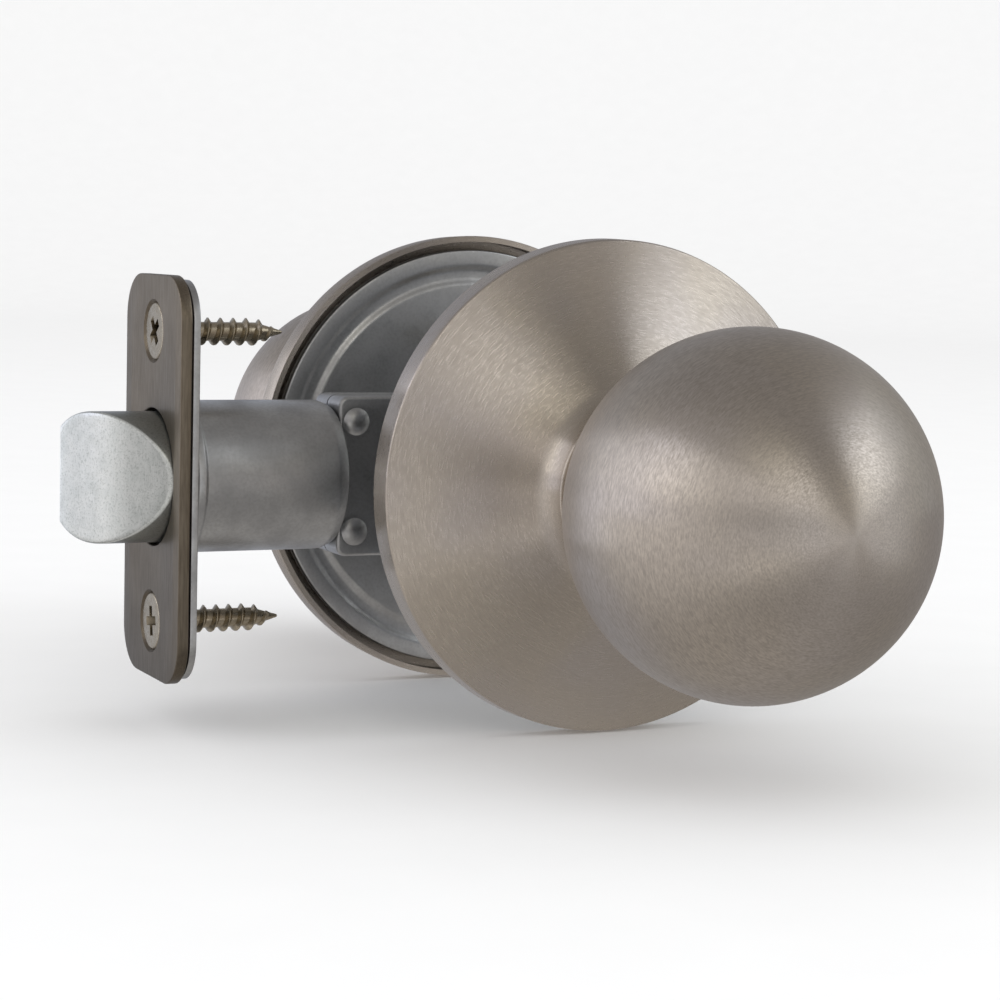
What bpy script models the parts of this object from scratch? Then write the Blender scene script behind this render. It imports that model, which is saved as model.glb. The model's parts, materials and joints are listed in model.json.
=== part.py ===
"""Tubular passage door knob set: two ball knobs, two roses, a spindle and a spring latch.

Frame: the origin is where the spindle's axis crosses the latch's centreline, in the middle of the
door's thickness. X runs along the latch and the bolt points towards -X. Y runs along the spindle,
with the exterior knob at -Y. Z is up. Sizes below are millimetres, turned into metres by MM.
"""

import math

import bmesh
import bpy
from mathutils import Matrix, Vector

MM = 0.001

# --- driving dimensions ---------------------------------------------------------------------------
DOOR_THICKNESS = 44.45
BACKSET = 60.325                 # door edge to the spindle's axis
GAP = 0.35                       # clearance between neighbouring pieces

BALL_RADIUS = 24.4
BALL_CENTRE_HEIGHT = 42.2        # from the door's face to the ball's centre
SHELL_THICKNESS = 1.2
NECK_RADIUS = 12.4

ROSE_RADIUS = 35.2
ROSE_RIM_HEIGHT = 3.9
ROSE_EDGE = 0.5                  # rounded edge between the rim and the cone
ROSE_HEIGHT = 14.2
ROSE_COLLAR_RADIUS = 13.6
ROSE_THICKNESS = 0.9

PLATE_RADIUS = 33.0
PLATE_THICKNESS = 1.6
PLATE_STANDOFF = 0.4             # mounting plate's back face above the door's face
PLATE_BORE = 9.35

SHANK_FLANGE_RADIUS = 13.8       # flange that carries the ball from inside
SHANK_FLANGE_THICKNESS = 1.3
SHANK_FLANGE_BACK = 47.3         # heights on the shank are measured from the middle of the door
NECK_BACK = 25.6
JOURNAL_RADIUS = 7.4
JOURNAL_END = 19.2
GROOVE_FRONT = 21.8
GROOVE_BACK = 20.2
GROOVE_DEPTH = 1.0
RING_RADIUS = 10.0
RING_THICKNESS = 0.9
RING_MOUTH = 9.0

BUSHING_RADIUS = 9.0
BUSHING_FLANGE_RADIUS = 11.5
BUSHING_FLANGE_THICKNESS = 0.7
BUSHING_LIP = 0.2                # bushing's back edge below the plate's back face
FIXING_HEIGHT = 19.0             # screws and posts above and below the spindle
SEAT_GAP = 0.3                   # clearance where one piece rests on another

SPINDLE_WIDTH = 6.9
SPINDLE_LENGTH = 76.0
SOCKET_WIDTH = SPINDLE_WIDTH + 2 * GAP

FACEPLATE_WIDTH = 25.4
FACEPLATE_LENGTH = 57.15
FACEPLATE_THICKNESS = 1.6
FACEPLATE_CORNER = 6.35
FACEPLATE_RECESS = 0.43          # outer face below the door's edge
BACK_PLATE_THICKNESS = 1.0
SCREW_SPACING = 41.2
SCREW_HEAD_RADIUS = 4.1
SCREW_SHANK_RADIUS = 2.0

BOLT_RADIUS = 9.3
BOLT_WAY_RADIUS = BOLT_RADIUS + 0.45
BOLT_PROJECTION = 11.65          # nose in front of the faceplate
BOLT_FLAT = 6.28                 # flat back of the nose, from the bolt's axis
BEVEL_RADIUS = 31.6
BOLT_GUIDED_LENGTH = 10.0        # part of the bolt that stays inside the barrel

BARREL_RADIUS = 11.1
BARREL_END = 33.8                # distances along the latch are measured from the spindle's axis
CASE_FRONT = 33.5
CASE_REAR = 15.0
CASE_HALF_WIDTH = 4.9
CASE_HALF_HEIGHT = 11.6
CASE_WALL = 0.9

KNOB_TURN = math.radians(75.0)   # full turn that draws the bolt in
HUB_ARM_RADIUS = 9.2
HUB_ARM_TIP = 1.3
HUB_CORE_RADIUS = 6.4
HUB_JOURNAL_RADIUS = 6.0
BOLT_TRAVEL = 2 * HUB_ARM_RADIUS * math.sin(KNOB_TURN / 2)

# --- sizes worked out from them -------------------------------------------------------------------
FACE = DOOR_THICKNESS / 2
BALL_CENTRE = FACE + BALL_CENTRE_HEIGHT
PLATE_BACK = FACE + PLATE_STANDOFF
PLATE_FRONT = PLATE_BACK + PLATE_THICKNESS
LATCH_FRONT = BACKSET - FACEPLATE_RECESS
FACEPLATE_BACK = LATCH_FRONT - FACEPLATE_THICKNESS
BACK_PLATE_FRONT = FACEPLATE_BACK - GAP
BACK_PLATE_BACK = BACK_PLATE_FRONT - BACK_PLATE_THICKNESS
BOLT_NOSE = LATCH_FRONT + BOLT_PROJECTION
BOLT_BACK = LATCH_FRONT - BOLT_GUIDED_LENGTH
TAB_FACE = HUB_ARM_TIP + 0.45 - BOLT_TRAVEL / 2     # x of the slide's tabs in front of the arm tips

STEPS = 32                       # facets round a large turned piece
SMALL_STEPS = 16                 # facets round a small one

OUTWARD = {"exterior": Matrix.Rotation(math.radians(90), 4, "X"),
           "interior": Matrix.Rotation(math.radians(-90), 4, "X")}
TO_EDGE = Matrix.Rotation(math.radians(-90), 4, "Y")


# --- scene, collections, materials ----------------------------------------------------------------
for old in list(bpy.data.objects):
    bpy.data.objects.remove(old, do_unlink=True)

parts = bpy.data.collections.new("door_knob_set")
cutters = bpy.data.collections.new("cutters")
for collection in (parts, cutters):
    bpy.context.scene.collection.children.link(collection)


def material(name, color, roughness, metallic=1.0):
    made = bpy.data.materials.new(name)
    made.use_nodes = True
    shader = made.node_tree.nodes["Principled BSDF"]
    shader.inputs["Base Color"].default_value = (*color, 1.0)
    shader.inputs["Roughness"].default_value = roughness
    shader.inputs["Metallic"].default_value = metallic
    made.diffuse_color = (*color, 1.0)
    return made


SATIN_NICKEL = material("satin_nickel", (0.50, 0.46, 0.41), 0.34)
PLATE_NICKEL = material("plate_nickel", (0.34, 0.31, 0.28), 0.40)
SCREW_NICKEL = material("screw_nickel", (0.62, 0.58, 0.50), 0.30)
CAST_ZINC = material("cast_zinc", (0.58, 0.60, 0.58), 0.50)
PLATED_STEEL = material("plated_steel", (0.55, 0.55, 0.54), 0.42)
SPRING_STEEL = material("spring_steel", (0.42, 0.42, 0.42), 0.35)
NYLON = material("nylon", (0.80, 0.79, 0.75), 0.55, metallic=0.0)


# --- modelling helpers ----------------------------------------------------------------------------
def add(name, mesh, finish=None, is_cutter=False):
    made = bpy.data.objects.new(name, mesh)
    (cutters if is_cutter else parts).objects.link(made)
    if is_cutter:
        made.hide_render = True
        made.display_type = "WIRE"
    if finish:
        made.data.materials.append(finish)
    return made


def mesh_from(bm, name):
    mesh = bpy.data.meshes.new(name)
    bm.to_mesh(mesh)
    bm.free()
    return mesh


def box(name, low, high, finish=None, is_cutter=False, round_edges=0.0, round_axis=0):
    """A box between two corners in mm; the four edges along round_axis can be rounded."""
    bm = bmesh.new()
    bmesh.ops.create_cube(bm, size=1.0)
    low, high = Vector(low) * MM, Vector(high) * MM
    size = high - low
    bmesh.ops.transform(bm, verts=bm.verts,
                        matrix=Matrix.Translation((low + high) / 2) @ Matrix.Diagonal((*size, 1.0)))
    if round_edges:
        def runs_along_axis(edge):
            step = edge.verts[1].co - edge.verts[0].co
            return abs(abs(step[round_axis]) - step.length) < 1e-6
        bmesh.ops.bevel(bm, geom=[edge for edge in bm.edges if runs_along_axis(edge)],
                        offset=round_edges * MM, segments=5, profile=0.5, affect="EDGES")
    return add(name, mesh_from(bm, name), finish, is_cutter)


def rod(name, radius, start, end, finish=None, is_cutter=False, steps=SMALL_STEPS, end_radius=None):
    """A cylinder or cone between two points in mm, closed at both ends."""
    start, end = Vector(start) * MM, Vector(end) * MM
    axis = end - start
    turn = axis.to_track_quat("Z", "Y").to_matrix().to_4x4()
    bm = bmesh.new()
    bmesh.ops.create_cone(bm, cap_ends=True, segments=steps, radius1=radius * MM,
                          radius2=(radius if end_radius is None else end_radius) * MM,
                          depth=axis.length, matrix=Matrix.Translation((start + end) / 2) @ turn)
    return add(name, mesh_from(bm, name), finish, is_cutter)


def turned(name, outline, placement, finish=None, steps=STEPS, closed=False, location=(0, 0, 0)):
    """Turn an outline of (radius, height) points in mm about the local Z axis.

    The outline runs down the outer side from the top. An open one starts and ends on the axis.
    """
    bm = bmesh.new()
    points = [bm.verts.new((radius * MM, 0.0, height * MM)) for radius, height in outline]
    for first, second in zip(points, points[1:]):
        bm.edges.new((first, second))
    if closed:
        bm.edges.new((points[-1], points[0]))
    made = add(name, mesh_from(bm, name), finish)
    screw = made.modifiers.new("turn", "SCREW")
    screw.axis = "Z"
    screw.steps = screw.render_steps = steps
    screw.use_merge_vertices = True
    screw.merge_threshold = 1e-6
    screw.use_smooth_shade = True
    made.matrix_world = Matrix.Translation(Vector(location) * MM) @ placement
    return made


def combine(target, tool, operation):
    change = target.modifiers.new(operation.lower(), "BOOLEAN")
    change.operation = operation
    change.object = tool
    change.solver = "EXACT"


def cut(target, *tools):
    for tool in tools:
        combine(target, tool, "DIFFERENCE")


def join(target, *tools):
    for tool in tools:
        combine(target, tool, "UNION")


def arc(centre, radius, first, last, count):
    """Points on a circle in the (radius, height) plane; angles in degrees from the radius axis."""
    angles = [math.radians(first + (last - first) * i / count) for i in range(count + 1)]
    return [(centre[0] + radius * math.cos(a), centre[1] + radius * math.sin(a)) for a in angles]


def sweep(start, control, end, count):
    """A quadratic curve from start to end that leaves and arrives towards control."""
    points = []
    for i in range(count + 1):
        t = i / count
        weights = ((1 - t) ** 2, 2 * t * (1 - t), t * t)
        points.append(tuple(sum(w * p[k] for w, p in zip(weights, (start, control, end)))
                            for k in range(2)))
    return points


def cross_recess(name, centre, axis, size, depth):
    """Two crossed slots for a driver; centre is on the head's top and axis points out of it."""
    tools = []
    half = Vector((size / 2, 0.45, depth))
    turn = Vector(axis).to_track_quat("Z", "Y").to_matrix().to_4x4()
    for index in range(2):
        slot = box(f"{name}_slot_{index}", -half, half, is_cutter=True)
        spin = Matrix.Rotation(math.radians(45 + 90 * index), 4, "Z")
        slot.matrix_world = Matrix.Translation(Vector(centre) * MM) @ turn @ spin
        tools.append(slot)
    return tools


def coil(name, radius, wire, turns, start, end, finish, points_per_turn=12):
    """A compression spring along X whose end turns are closed against its seats."""
    curve = bpy.data.curves.new(name, "CURVE")
    curve.dimensions = "3D"
    curve.bevel_depth = wire * MM
    curve.bevel_resolution = 2
    curve.use_fill_caps = True
    spline = curve.splines.new("POLY")
    count = round(turns * points_per_turn)
    spline.points.add(count)
    low, high = start[0] + wire, end[0] - wire
    flat = 2.2 * wire                                  # height of each closed end turn
    middle = turns - 2.0
    for i in range(count + 1):
        turn = i / points_per_turn
        if turn < 1.0:
            x = low + flat * turn
        elif turn > turns - 1.0:
            x = high - flat * (turns - turn)
        else:
            x = low + flat + (high - low - 2 * flat) * (turn - 1.0) / middle
        angle = 2 * math.pi * turn
        spline.points[i].co = (x * MM, (start[1] + radius * math.cos(angle)) * MM,
                               (start[2] + radius * math.sin(angle)) * MM, 1.0)
    made = bpy.data.objects.new(name, curve)
    parts.objects.link(made)
    curve.materials.append(finish)
    return made


# --- knobs and roses ------------------------------------------------------------------------------
def ball_shell(side):
    """Hollow spun ball, open at the back round the shank."""
    opening = NECK_RADIUS + GAP
    inner = BALL_RADIUS - SHELL_THICKNESS
    outer_angle = -math.degrees(math.acos(opening / BALL_RADIUS))
    inner_angle = -math.degrees(math.acos(opening / inner))
    outline = arc((0, BALL_CENTRE), BALL_RADIUS, 90, outer_angle, 13)
    outline += arc((0, BALL_CENTRE), inner, inner_angle, 90, 6)
    outline[0] = (0.0, outline[0][1])
    outline[-1] = (0.0, outline[-1][1])
    return turned(f"{side}_knob_shell", outline, OUTWARD[side], SATIN_NICKEL)


def knob_shank(side):
    """Turned shank: flange inside the ball, neck, journal with a ring groove, square socket."""
    flange_front = SHANK_FLANGE_BACK + SHANK_FLANGE_THICKNESS
    groove_radius = JOURNAL_RADIUS - GROOVE_DEPTH
    outline = [(0, flange_front), (SHANK_FLANGE_RADIUS, flange_front),
               (SHANK_FLANGE_RADIUS, SHANK_FLANGE_BACK), (NECK_RADIUS, SHANK_FLANGE_BACK),
               (NECK_RADIUS, NECK_BACK), (JOURNAL_RADIUS, NECK_BACK), (JOURNAL_RADIUS, GROOVE_FRONT),
               (groove_radius, GROOVE_FRONT), (groove_radius, GROOVE_BACK),
               (JOURNAL_RADIUS, GROOVE_BACK), (JOURNAL_RADIUS, JOURNAL_END), (0, JOURNAL_END)]
    shank = turned(f"{side}_knob_shank", outline, OUTWARD[side], SATIN_NICKEL)
    half = SOCKET_WIDTH / 2
    socket = box(f"{side}_socket", (-half, -half, JOURNAL_END - 1),
                 (half, half, SPINDLE_LENGTH / 2 + 1), is_cutter=True)
    socket.matrix_world = OUTWARD[side]
    cut(shank, socket)
    return shank


def rose(side):
    """Pressed round rose: upright rim, low concave cone, and a collar round the knob's neck."""
    rim_top = FACE + ROSE_RIM_HEIGHT
    cone_foot = (ROSE_RADIUS - ROSE_EDGE, rim_top + 0.45)
    cone_bend = (24.0, FACE + 6.3)
    cone_head = (15.6, FACE + 10.4)
    collar_top = FACE + ROSE_HEIGHT
    bore = NECK_RADIUS + GAP
    outline = [(bore, collar_top), (ROSE_COLLAR_RADIUS - 0.3, collar_top)]
    outline += sweep((ROSE_COLLAR_RADIUS, collar_top - 0.3), (ROSE_COLLAR_RADIUS + 0.1, FACE + 11.4),
                     cone_head, 3)
    outline += sweep(cone_head, cone_bend, cone_foot, 5)[1:]
    outline += sweep(cone_foot, (ROSE_RADIUS - 0.1, rim_top + 0.4), (ROSE_RADIUS - 0.1, rim_top), 2)[1:]
    outline += [(ROSE_RADIUS, FACE), (ROSE_RADIUS - ROSE_THICKNESS, FACE)]
    inside = sweep((cone_foot[0] - 0.3, cone_foot[1]), cone_bend, cone_head, 3)
    outline += [(radius, height - ROSE_THICKNESS) for radius, height in inside]
    outline += [(bore, cone_head[1])]
    return turned(f"{side}_rose", outline, OUTWARD[side], SATIN_NICKEL, steps=40, closed=True)


def mounting_plate(side):
    """Stamped disc behind the rose with the bore for the bushing."""
    outline = [(PLATE_BORE, PLATE_FRONT), (PLATE_RADIUS, PLATE_FRONT), (PLATE_RADIUS, PLATE_BACK),
               (PLATE_BORE, PLATE_BACK)]
    return turned(f"{side}_mounting_plate", outline, OUTWARD[side], PLATED_STEEL, closed=True)


def bushing(side):
    """Flanged nylon bearing for the shank."""
    bore = JOURNAL_RADIUS + GAP
    flange_back = PLATE_FRONT + SEAT_GAP
    flange_front = flange_back + BUSHING_FLANGE_THICKNESS
    end = PLATE_BACK - BUSHING_LIP
    outline = [(bore, flange_front), (BUSHING_FLANGE_RADIUS, flange_front),
               (BUSHING_FLANGE_RADIUS, flange_back), (BUSHING_RADIUS, flange_back),
               (BUSHING_RADIUS, end), (bore, end)]
    return turned(f"{side}_bushing", outline, OUTWARD[side], NYLON, closed=True)


def retaining_ring(side):
    """Open ring in the shank's groove that keeps the knob on its plate."""
    bore = JOURNAL_RADIUS - GROOVE_DEPTH + GAP
    middle = (GROOVE_FRONT + GROOVE_BACK) / 2
    front, back = middle + RING_THICKNESS / 2, middle - RING_THICKNESS / 2
    outline = [(bore, front), (RING_RADIUS, front), (RING_RADIUS, back), (bore, back)]
    ring = turned(f"{side}_retaining_ring", outline, OUTWARD[side], SPRING_STEEL, closed=True)
    mouth = box(f"{side}_ring_mouth", (-RING_MOUTH / 2, -RING_RADIUS - 2, back - 1),
                (RING_MOUTH / 2, -bore / 2, front + 1), is_cutter=True)
    mouth.matrix_world = OUTWARD[side]
    cut(ring, mouth)
    return ring


for side in OUTWARD:
    ball_shell(side)
    knob_shank(side)
    bushing(side)
    retaining_ring(side)
exterior_rose, interior_rose = rose("exterior"), rose("interior")
exterior_plate, interior_plate = mounting_plate("exterior"), mounting_plate("interior")

half_width = SPINDLE_WIDTH / 2
box("spindle", (-half_width, -SPINDLE_LENGTH / 2, -half_width),
    (half_width, SPINDLE_LENGTH / 2, half_width), PLATED_STEEL, round_edges=0.4, round_axis=1)


# --- through fixings ------------------------------------------------------------------------------
POST_RADIUS = 3.4
POST_BORE = SCREW_SHANK_RADIUS + GAP
POST_BORE_END = 20.0              # heights on the exterior side of the middle of the door
POST_END = 4.0
POST_STUB = 2.5                   # riveted end of the post
POST_RIVET_HEIGHT = 0.9
BOSS_RADIUS = 3.8
MACHINE_HEAD_RADIUS = 3.9
MACHINE_HEAD_HEIGHT = 2.5
MACHINE_HEAD_SEAT = PLATE_FRONT + 3.8
MACHINE_HEAD_TOP = MACHINE_HEAD_SEAT + MACHINE_HEAD_HEIGHT
MACHINE_SCREW_REACH = 17.0        # screw's end beyond the middle of the door


def threaded_post(name, height):
    """Post riveted in the exterior plate; the machine screw enters its bore."""
    rivet_foot = PLATE_FRONT + SEAT_GAP
    rivet_top = rivet_foot + POST_RIVET_HEIGHT
    shoulder = PLATE_BACK - SEAT_GAP
    outline = [(0, rivet_top), (POST_RADIUS - 0.4, rivet_top), (POST_RADIUS + 0.2, rivet_foot),
               (POST_STUB, rivet_foot), (POST_STUB, shoulder), (POST_RADIUS, shoulder),
               (POST_RADIUS, POST_END), (POST_BORE, POST_END), (POST_BORE, POST_BORE_END),
               (0, POST_BORE_END)]
    return turned(name, outline, OUTWARD["exterior"], PLATED_STEEL, SMALL_STEPS,
                  location=(0, 0, height))


def machine_screw(name, height):
    """Pan head machine screw from the interior plate into a post."""
    outline = [(0, MACHINE_HEAD_TOP)]
    outline += sweep((2.2, MACHINE_HEAD_TOP - 0.1), (MACHINE_HEAD_RADIUS, MACHINE_HEAD_TOP - 0.3),
                     (MACHINE_HEAD_RADIUS, MACHINE_HEAD_SEAT + 1.0), 3)
    outline += [(MACHINE_HEAD_RADIUS, MACHINE_HEAD_SEAT), (SCREW_SHANK_RADIUS, MACHINE_HEAD_SEAT),
                (SCREW_SHANK_RADIUS, 0.6 - MACHINE_SCREW_REACH), (1.4, -MACHINE_SCREW_REACH),
                (0, -MACHINE_SCREW_REACH)]
    screw = turned(name, outline, OUTWARD["interior"], SCREW_NICKEL, SMALL_STEPS,
                   location=(0, 0, height))
    cut(screw, *cross_recess(name, (0, MACHINE_HEAD_TOP, height), (0, 1, 0), 4.4, 1.5))
    return screw


for label, height in (("upper", FIXING_HEIGHT), ("lower", -FIXING_HEIGHT)):
    threaded_post(f"threaded_post_{label}", height)
    machine_screw(f"mounting_screw_{label}", height)
    cut(exterior_plate, rod(f"post_hole_{label}", POST_STUB + GAP, (0, -PLATE_BACK + 1, height),
                            (0, -PLATE_FRONT - 1, height), is_cutter=True))
    boss = rod(f"boss_{label}", BOSS_RADIUS, (0, PLATE_FRONT - 0.5, height),
               (0, MACHINE_HEAD_SEAT - SEAT_GAP, height), is_cutter=True)
    join(interior_plate, boss)
    cut(interior_plate, rod(f"screw_hole_{label}", SCREW_SHANK_RADIUS + GAP,
                            (0, PLATE_BACK - 1, height), (0, MACHINE_HEAD_TOP, height),
                            is_cutter=True))
    cut(interior_rose, rod(f"head_hole_{label}", MACHINE_HEAD_RADIUS + 0.4, (0, FACE - 1, height),
                           (0, FACE + ROSE_HEIGHT, height), is_cutter=True, steps=28))


# --- latch front: faceplate, back plate, wood screws ----------------------------------------------
def latch_plate(name, front, back, margin, finish):
    """Plate with round corners across the latch's front, and the hole for the bolt."""
    width = FACEPLATE_WIDTH / 2 - margin
    length = FACEPLATE_LENGTH / 2 - margin
    plate = box(name, (-front, -width, -length), (-back, width, length), finish,
                round_edges=FACEPLATE_CORNER - margin, round_axis=0)
    cut(plate, rod(f"{name}_bolt_hole", BOLT_WAY_RADIUS, (-front - 1, 0, 0), (-back + 1, 0, 0),
                   is_cutter=True, steps=STEPS))
    return plate


HEAD_TOP = LATCH_FRONT - 0.15
HEAD_EDGE = 0.2                   # upright edge of a flat head
HEAD_SLOPE = 0.875                # radius lost for each millimetre of depth under the head
HEAD_DEPTH = (SCREW_HEAD_RADIUS - SCREW_SHANK_RADIUS) / HEAD_SLOPE
WOOD_SCREW_LENGTH = 19.0
WOOD_SCREW_POINT = 4.0
COUNTERSINK_RADIUS = SCREW_HEAD_RADIUS + 0.4
COUNTERSINK_DEPTH = 4.0
WOOD_SCREW_CLEARANCE = 3.2


def wood_screw(name, height):
    """Flat head wood screw with a cross recess."""
    tip = HEAD_TOP - WOOD_SCREW_LENGTH
    outline = [(0, HEAD_TOP), (SCREW_HEAD_RADIUS, HEAD_TOP), (SCREW_HEAD_RADIUS, HEAD_TOP - HEAD_EDGE),
               (SCREW_SHANK_RADIUS, HEAD_TOP - HEAD_EDGE - HEAD_DEPTH),
               (SCREW_SHANK_RADIUS, tip + WOOD_SCREW_POINT), (0, tip)]
    screw = turned(name, outline, TO_EDGE, SCREW_NICKEL, 24, location=(0, 0, height))
    cut(screw, *cross_recess(name, (-HEAD_TOP, 0, height), (-1, 0, 0), 4.6, 1.6))
    return screw


faceplate = latch_plate("latch_faceplate", LATCH_FRONT, FACEPLATE_BACK, 0.0, PLATE_NICKEL)
back_plate = latch_plate("latch_back_plate", BACK_PLATE_FRONT, BACK_PLATE_BACK, 0.6, PLATED_STEEL)
for label, height in (("upper", SCREW_SPACING / 2), ("lower", -SCREW_SPACING / 2)):
    wood_screw(f"faceplate_screw_{label}", height)
    cut(faceplate, rod(f"countersink_{label}", COUNTERSINK_RADIUS + HEAD_SLOPE * HEAD_EDGE,
                       (-LATCH_FRONT - HEAD_EDGE, 0, height),
                       (-LATCH_FRONT + COUNTERSINK_DEPTH, 0, height), is_cutter=True, steps=28,
                       end_radius=COUNTERSINK_RADIUS - HEAD_SLOPE * COUNTERSINK_DEPTH))
    cut(back_plate, rod(f"clearance_{label}", WOOD_SCREW_CLEARANCE, (-LATCH_FRONT, 0, height),
                        (-BACK_PLATE_BACK + 1, 0, height), is_cutter=True))


# --- bolt, barrel, tail rod -----------------------------------------------------------------------
ROD_RADIUS = 1.35
ROD_HEAD_RADIUS = 1.9
ROD_HEAD_END = 22.6
ROD_HEAD_THICKNESS = 1.4
ROD_HOLE = ROD_RADIUS + 0.45
ROD_SEAT_DEPTH = 7.0              # how far the rod enters the bolt
BARREL_WALL = 0.9


def bolt():
    """Round bolt with a flat back at the nose and a curved bevel on the exterior side."""
    made = rod("latch_bolt", BOLT_RADIUS, (-BOLT_BACK, 0, 0), (-BOLT_NOSE, 0, 0), CAST_ZINC,
               steps=STEPS)
    nose = Vector((-BOLT_NOSE, BOLT_FLAT))
    foot = Vector((-LATCH_FRONT, -BOLT_RADIUS))
    middle, chord = (nose + foot) / 2, nose - foot
    inward = Vector((chord.y, -chord.x)).normalized()
    centre = middle + inward * math.sqrt(BEVEL_RADIUS ** 2 - (chord.length / 2) ** 2)
    bevel = rod("bevel_form", BEVEL_RADIUS, (*centre, -BOLT_RADIUS - 2), (*centre, BOLT_RADIUS + 2),
                is_cutter=True, steps=132)
    combine(made, bevel, "INTERSECT")
    cut(made, box("bolt_flat", (-BOLT_NOSE - 2, BOLT_FLAT, -BOLT_RADIUS - 1),
                  (-LATCH_FRONT - 0.3, BOLT_RADIUS + 2, BOLT_RADIUS + 1), is_cutter=True))
    cut(made, rod("bolt_bore", ROD_RADIUS + GAP, (-BOLT_BACK + 1, 0, 0),
                  (-BOLT_BACK - ROD_SEAT_DEPTH - GAP, 0, 0), is_cutter=True))
    return made


def tail_rod():
    """Rod from the bolt's bore to the slide's eye, with a head behind the eye."""
    front, head_front = BOLT_BACK + ROD_SEAT_DEPTH, ROD_HEAD_END + ROD_HEAD_THICKNESS
    outline = [(0, front), (ROD_RADIUS, front), (ROD_RADIUS, head_front), (ROD_HEAD_RADIUS, head_front),
               (ROD_HEAD_RADIUS, ROD_HEAD_END), (0, ROD_HEAD_END)]
    return turned("tail_rod", outline, TO_EDGE, PLATED_STEEL, SMALL_STEPS)


def barrel():
    """Tube behind the back plate that guides the bolt; its end wall seats the bolt spring."""
    front = BACK_PLATE_BACK - SEAT_GAP
    outline = [(BOLT_WAY_RADIUS, front), (BARREL_RADIUS, front), (BARREL_RADIUS, BARREL_END + 0.6),
               (BARREL_RADIUS - 0.6, BARREL_END), (ROD_HOLE, BARREL_END),
               (ROD_HOLE, BARREL_END + BARREL_WALL), (BOLT_WAY_RADIUS, BARREL_END + BARREL_WALL)]
    return turned("latch_barrel", outline, TO_EDGE, PLATED_STEEL, closed=True)


bolt()
tail_rod()
barrel()
coil("bolt_spring", 6.0, 0.4, 4.5, (-BOLT_BACK + SEAT_GAP, 0, 0),
     (-BARREL_END - BARREL_WALL - SEAT_GAP, 0, 0), SPRING_STEEL)


# --- case, hub, slide -----------------------------------------------------------------------------
RIVET_RADIUS = 1.2
RIVET_HEAD_RADIUS = 2.2
CASE_SPLIT = 0.15                 # each half stops this far from the centre plane
HUB_HALF_WIDTH = 5.3
HUB_CORE_HALF_WIDTH = 3.4
HUB_ARM_HALF_WIDTH = 0.9
HUB_ARM_HALF_THICKNESS = 1.1
RIVETS = {"front_upper": (-30.9, 8.0), "front_lower": (-30.9, -8.0), "rear": (11.6, 0.0)}


def case_half(name, sign):
    """Stamped tray; two of them meet on the latch's centre plane."""
    def span(near, far):
        return sorted((sign * near, sign * far))
    outer = span(CASE_SPLIT, CASE_HALF_WIDTH)
    inner = span(-1.0, CASE_HALF_WIDTH - CASE_WALL)
    half = box(name, (-CASE_FRONT, outer[0], -CASE_HALF_HEIGHT), (CASE_REAR, outer[1], CASE_HALF_HEIGHT),
               PLATED_STEEL, round_edges=1.0, round_axis=1)
    cut(half,
        box(f"{name}_hollow", (-CASE_FRONT + CASE_WALL, inner[0], -CASE_HALF_HEIGHT + CASE_WALL),
            (CASE_REAR - CASE_WALL, inner[1], CASE_HALF_HEIGHT - CASE_WALL), is_cutter=True),
        rod(f"{name}_rod_way", ROD_HOLE, (-CASE_FRONT - 1, 0, 0), (-CASE_FRONT + 2, 0, 0),
            is_cutter=True),
        rod(f"{name}_hub_bearing", HUB_JOURNAL_RADIUS + GAP, (0, sign * 2, 0), (0, sign * 7, 0),
            is_cutter=True, steps=28))
    for label, (x, z) in RIVETS.items():
        cut(half, rod(f"{name}_rivet_hole_{label}", RIVET_RADIUS + 0.3, (x, sign * 2, z),
                      (x, sign * 7, z), is_cutter=True))
    return half


def rivet(label, x, z):
    face = CASE_HALF_WIDTH + SEAT_GAP
    head = [(0, face + 0.7), (1.7, face + 0.6), (RIVET_HEAD_RADIUS, face), (RIVET_RADIUS, face)]
    outline = head + [(radius, -height) for radius, height in reversed(head)]
    return turned(f"case_rivet_{label}", outline, OUTWARD["exterior"], PLATED_STEEL, SMALL_STEPS,
                  location=(x, 0, z))


case_half("latch_case_exterior_half", -1)
case_half("latch_case_interior_half", 1)
for label, (x, z) in RIVETS.items():
    rivet(label, x, z)


def hub():
    """Cam on the spindle: core, two journals, and two arms that lean towards the bolt at rest."""
    core = rod("latch_hub", HUB_CORE_RADIUS, (0, -HUB_CORE_HALF_WIDTH, 0),
               (0, HUB_CORE_HALF_WIDTH, 0), PLATED_STEEL, steps=28)
    join(core, rod("hub_journals", HUB_JOURNAL_RADIUS, (0, -HUB_HALF_WIDTH, 0),
                   (0, HUB_HALF_WIDTH, 0), is_cutter=True, steps=28))
    lean = KNOB_TURN / 2
    for label, up in (("upper", 1), ("lower", -1)):
        tip = (-HUB_ARM_RADIUS * math.sin(lean), up * HUB_ARM_RADIUS * math.cos(lean))
        arm = box(f"hub_arm_{label}", (-HUB_ARM_HALF_WIDTH, -HUB_ARM_HALF_THICKNESS, 0),
                  (HUB_ARM_HALF_WIDTH, HUB_ARM_HALF_THICKNESS, HUB_ARM_RADIUS), is_cutter=True)
        arm.matrix_world = Matrix.Rotation(-lean if up > 0 else math.pi + lean, 4, "Y")
        join(core, arm, rod(f"hub_tip_{label}", HUB_ARM_TIP, (tip[0], -HUB_ARM_HALF_THICKNESS, tip[1]),
                            (tip[0], HUB_ARM_HALF_THICKNESS, tip[1]), is_cutter=True))
    half = SOCKET_WIDTH / 2
    cut(core, box("hub_square", (-half, -7, -half), (half, 7, half), is_cutter=True))
    return core


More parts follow.
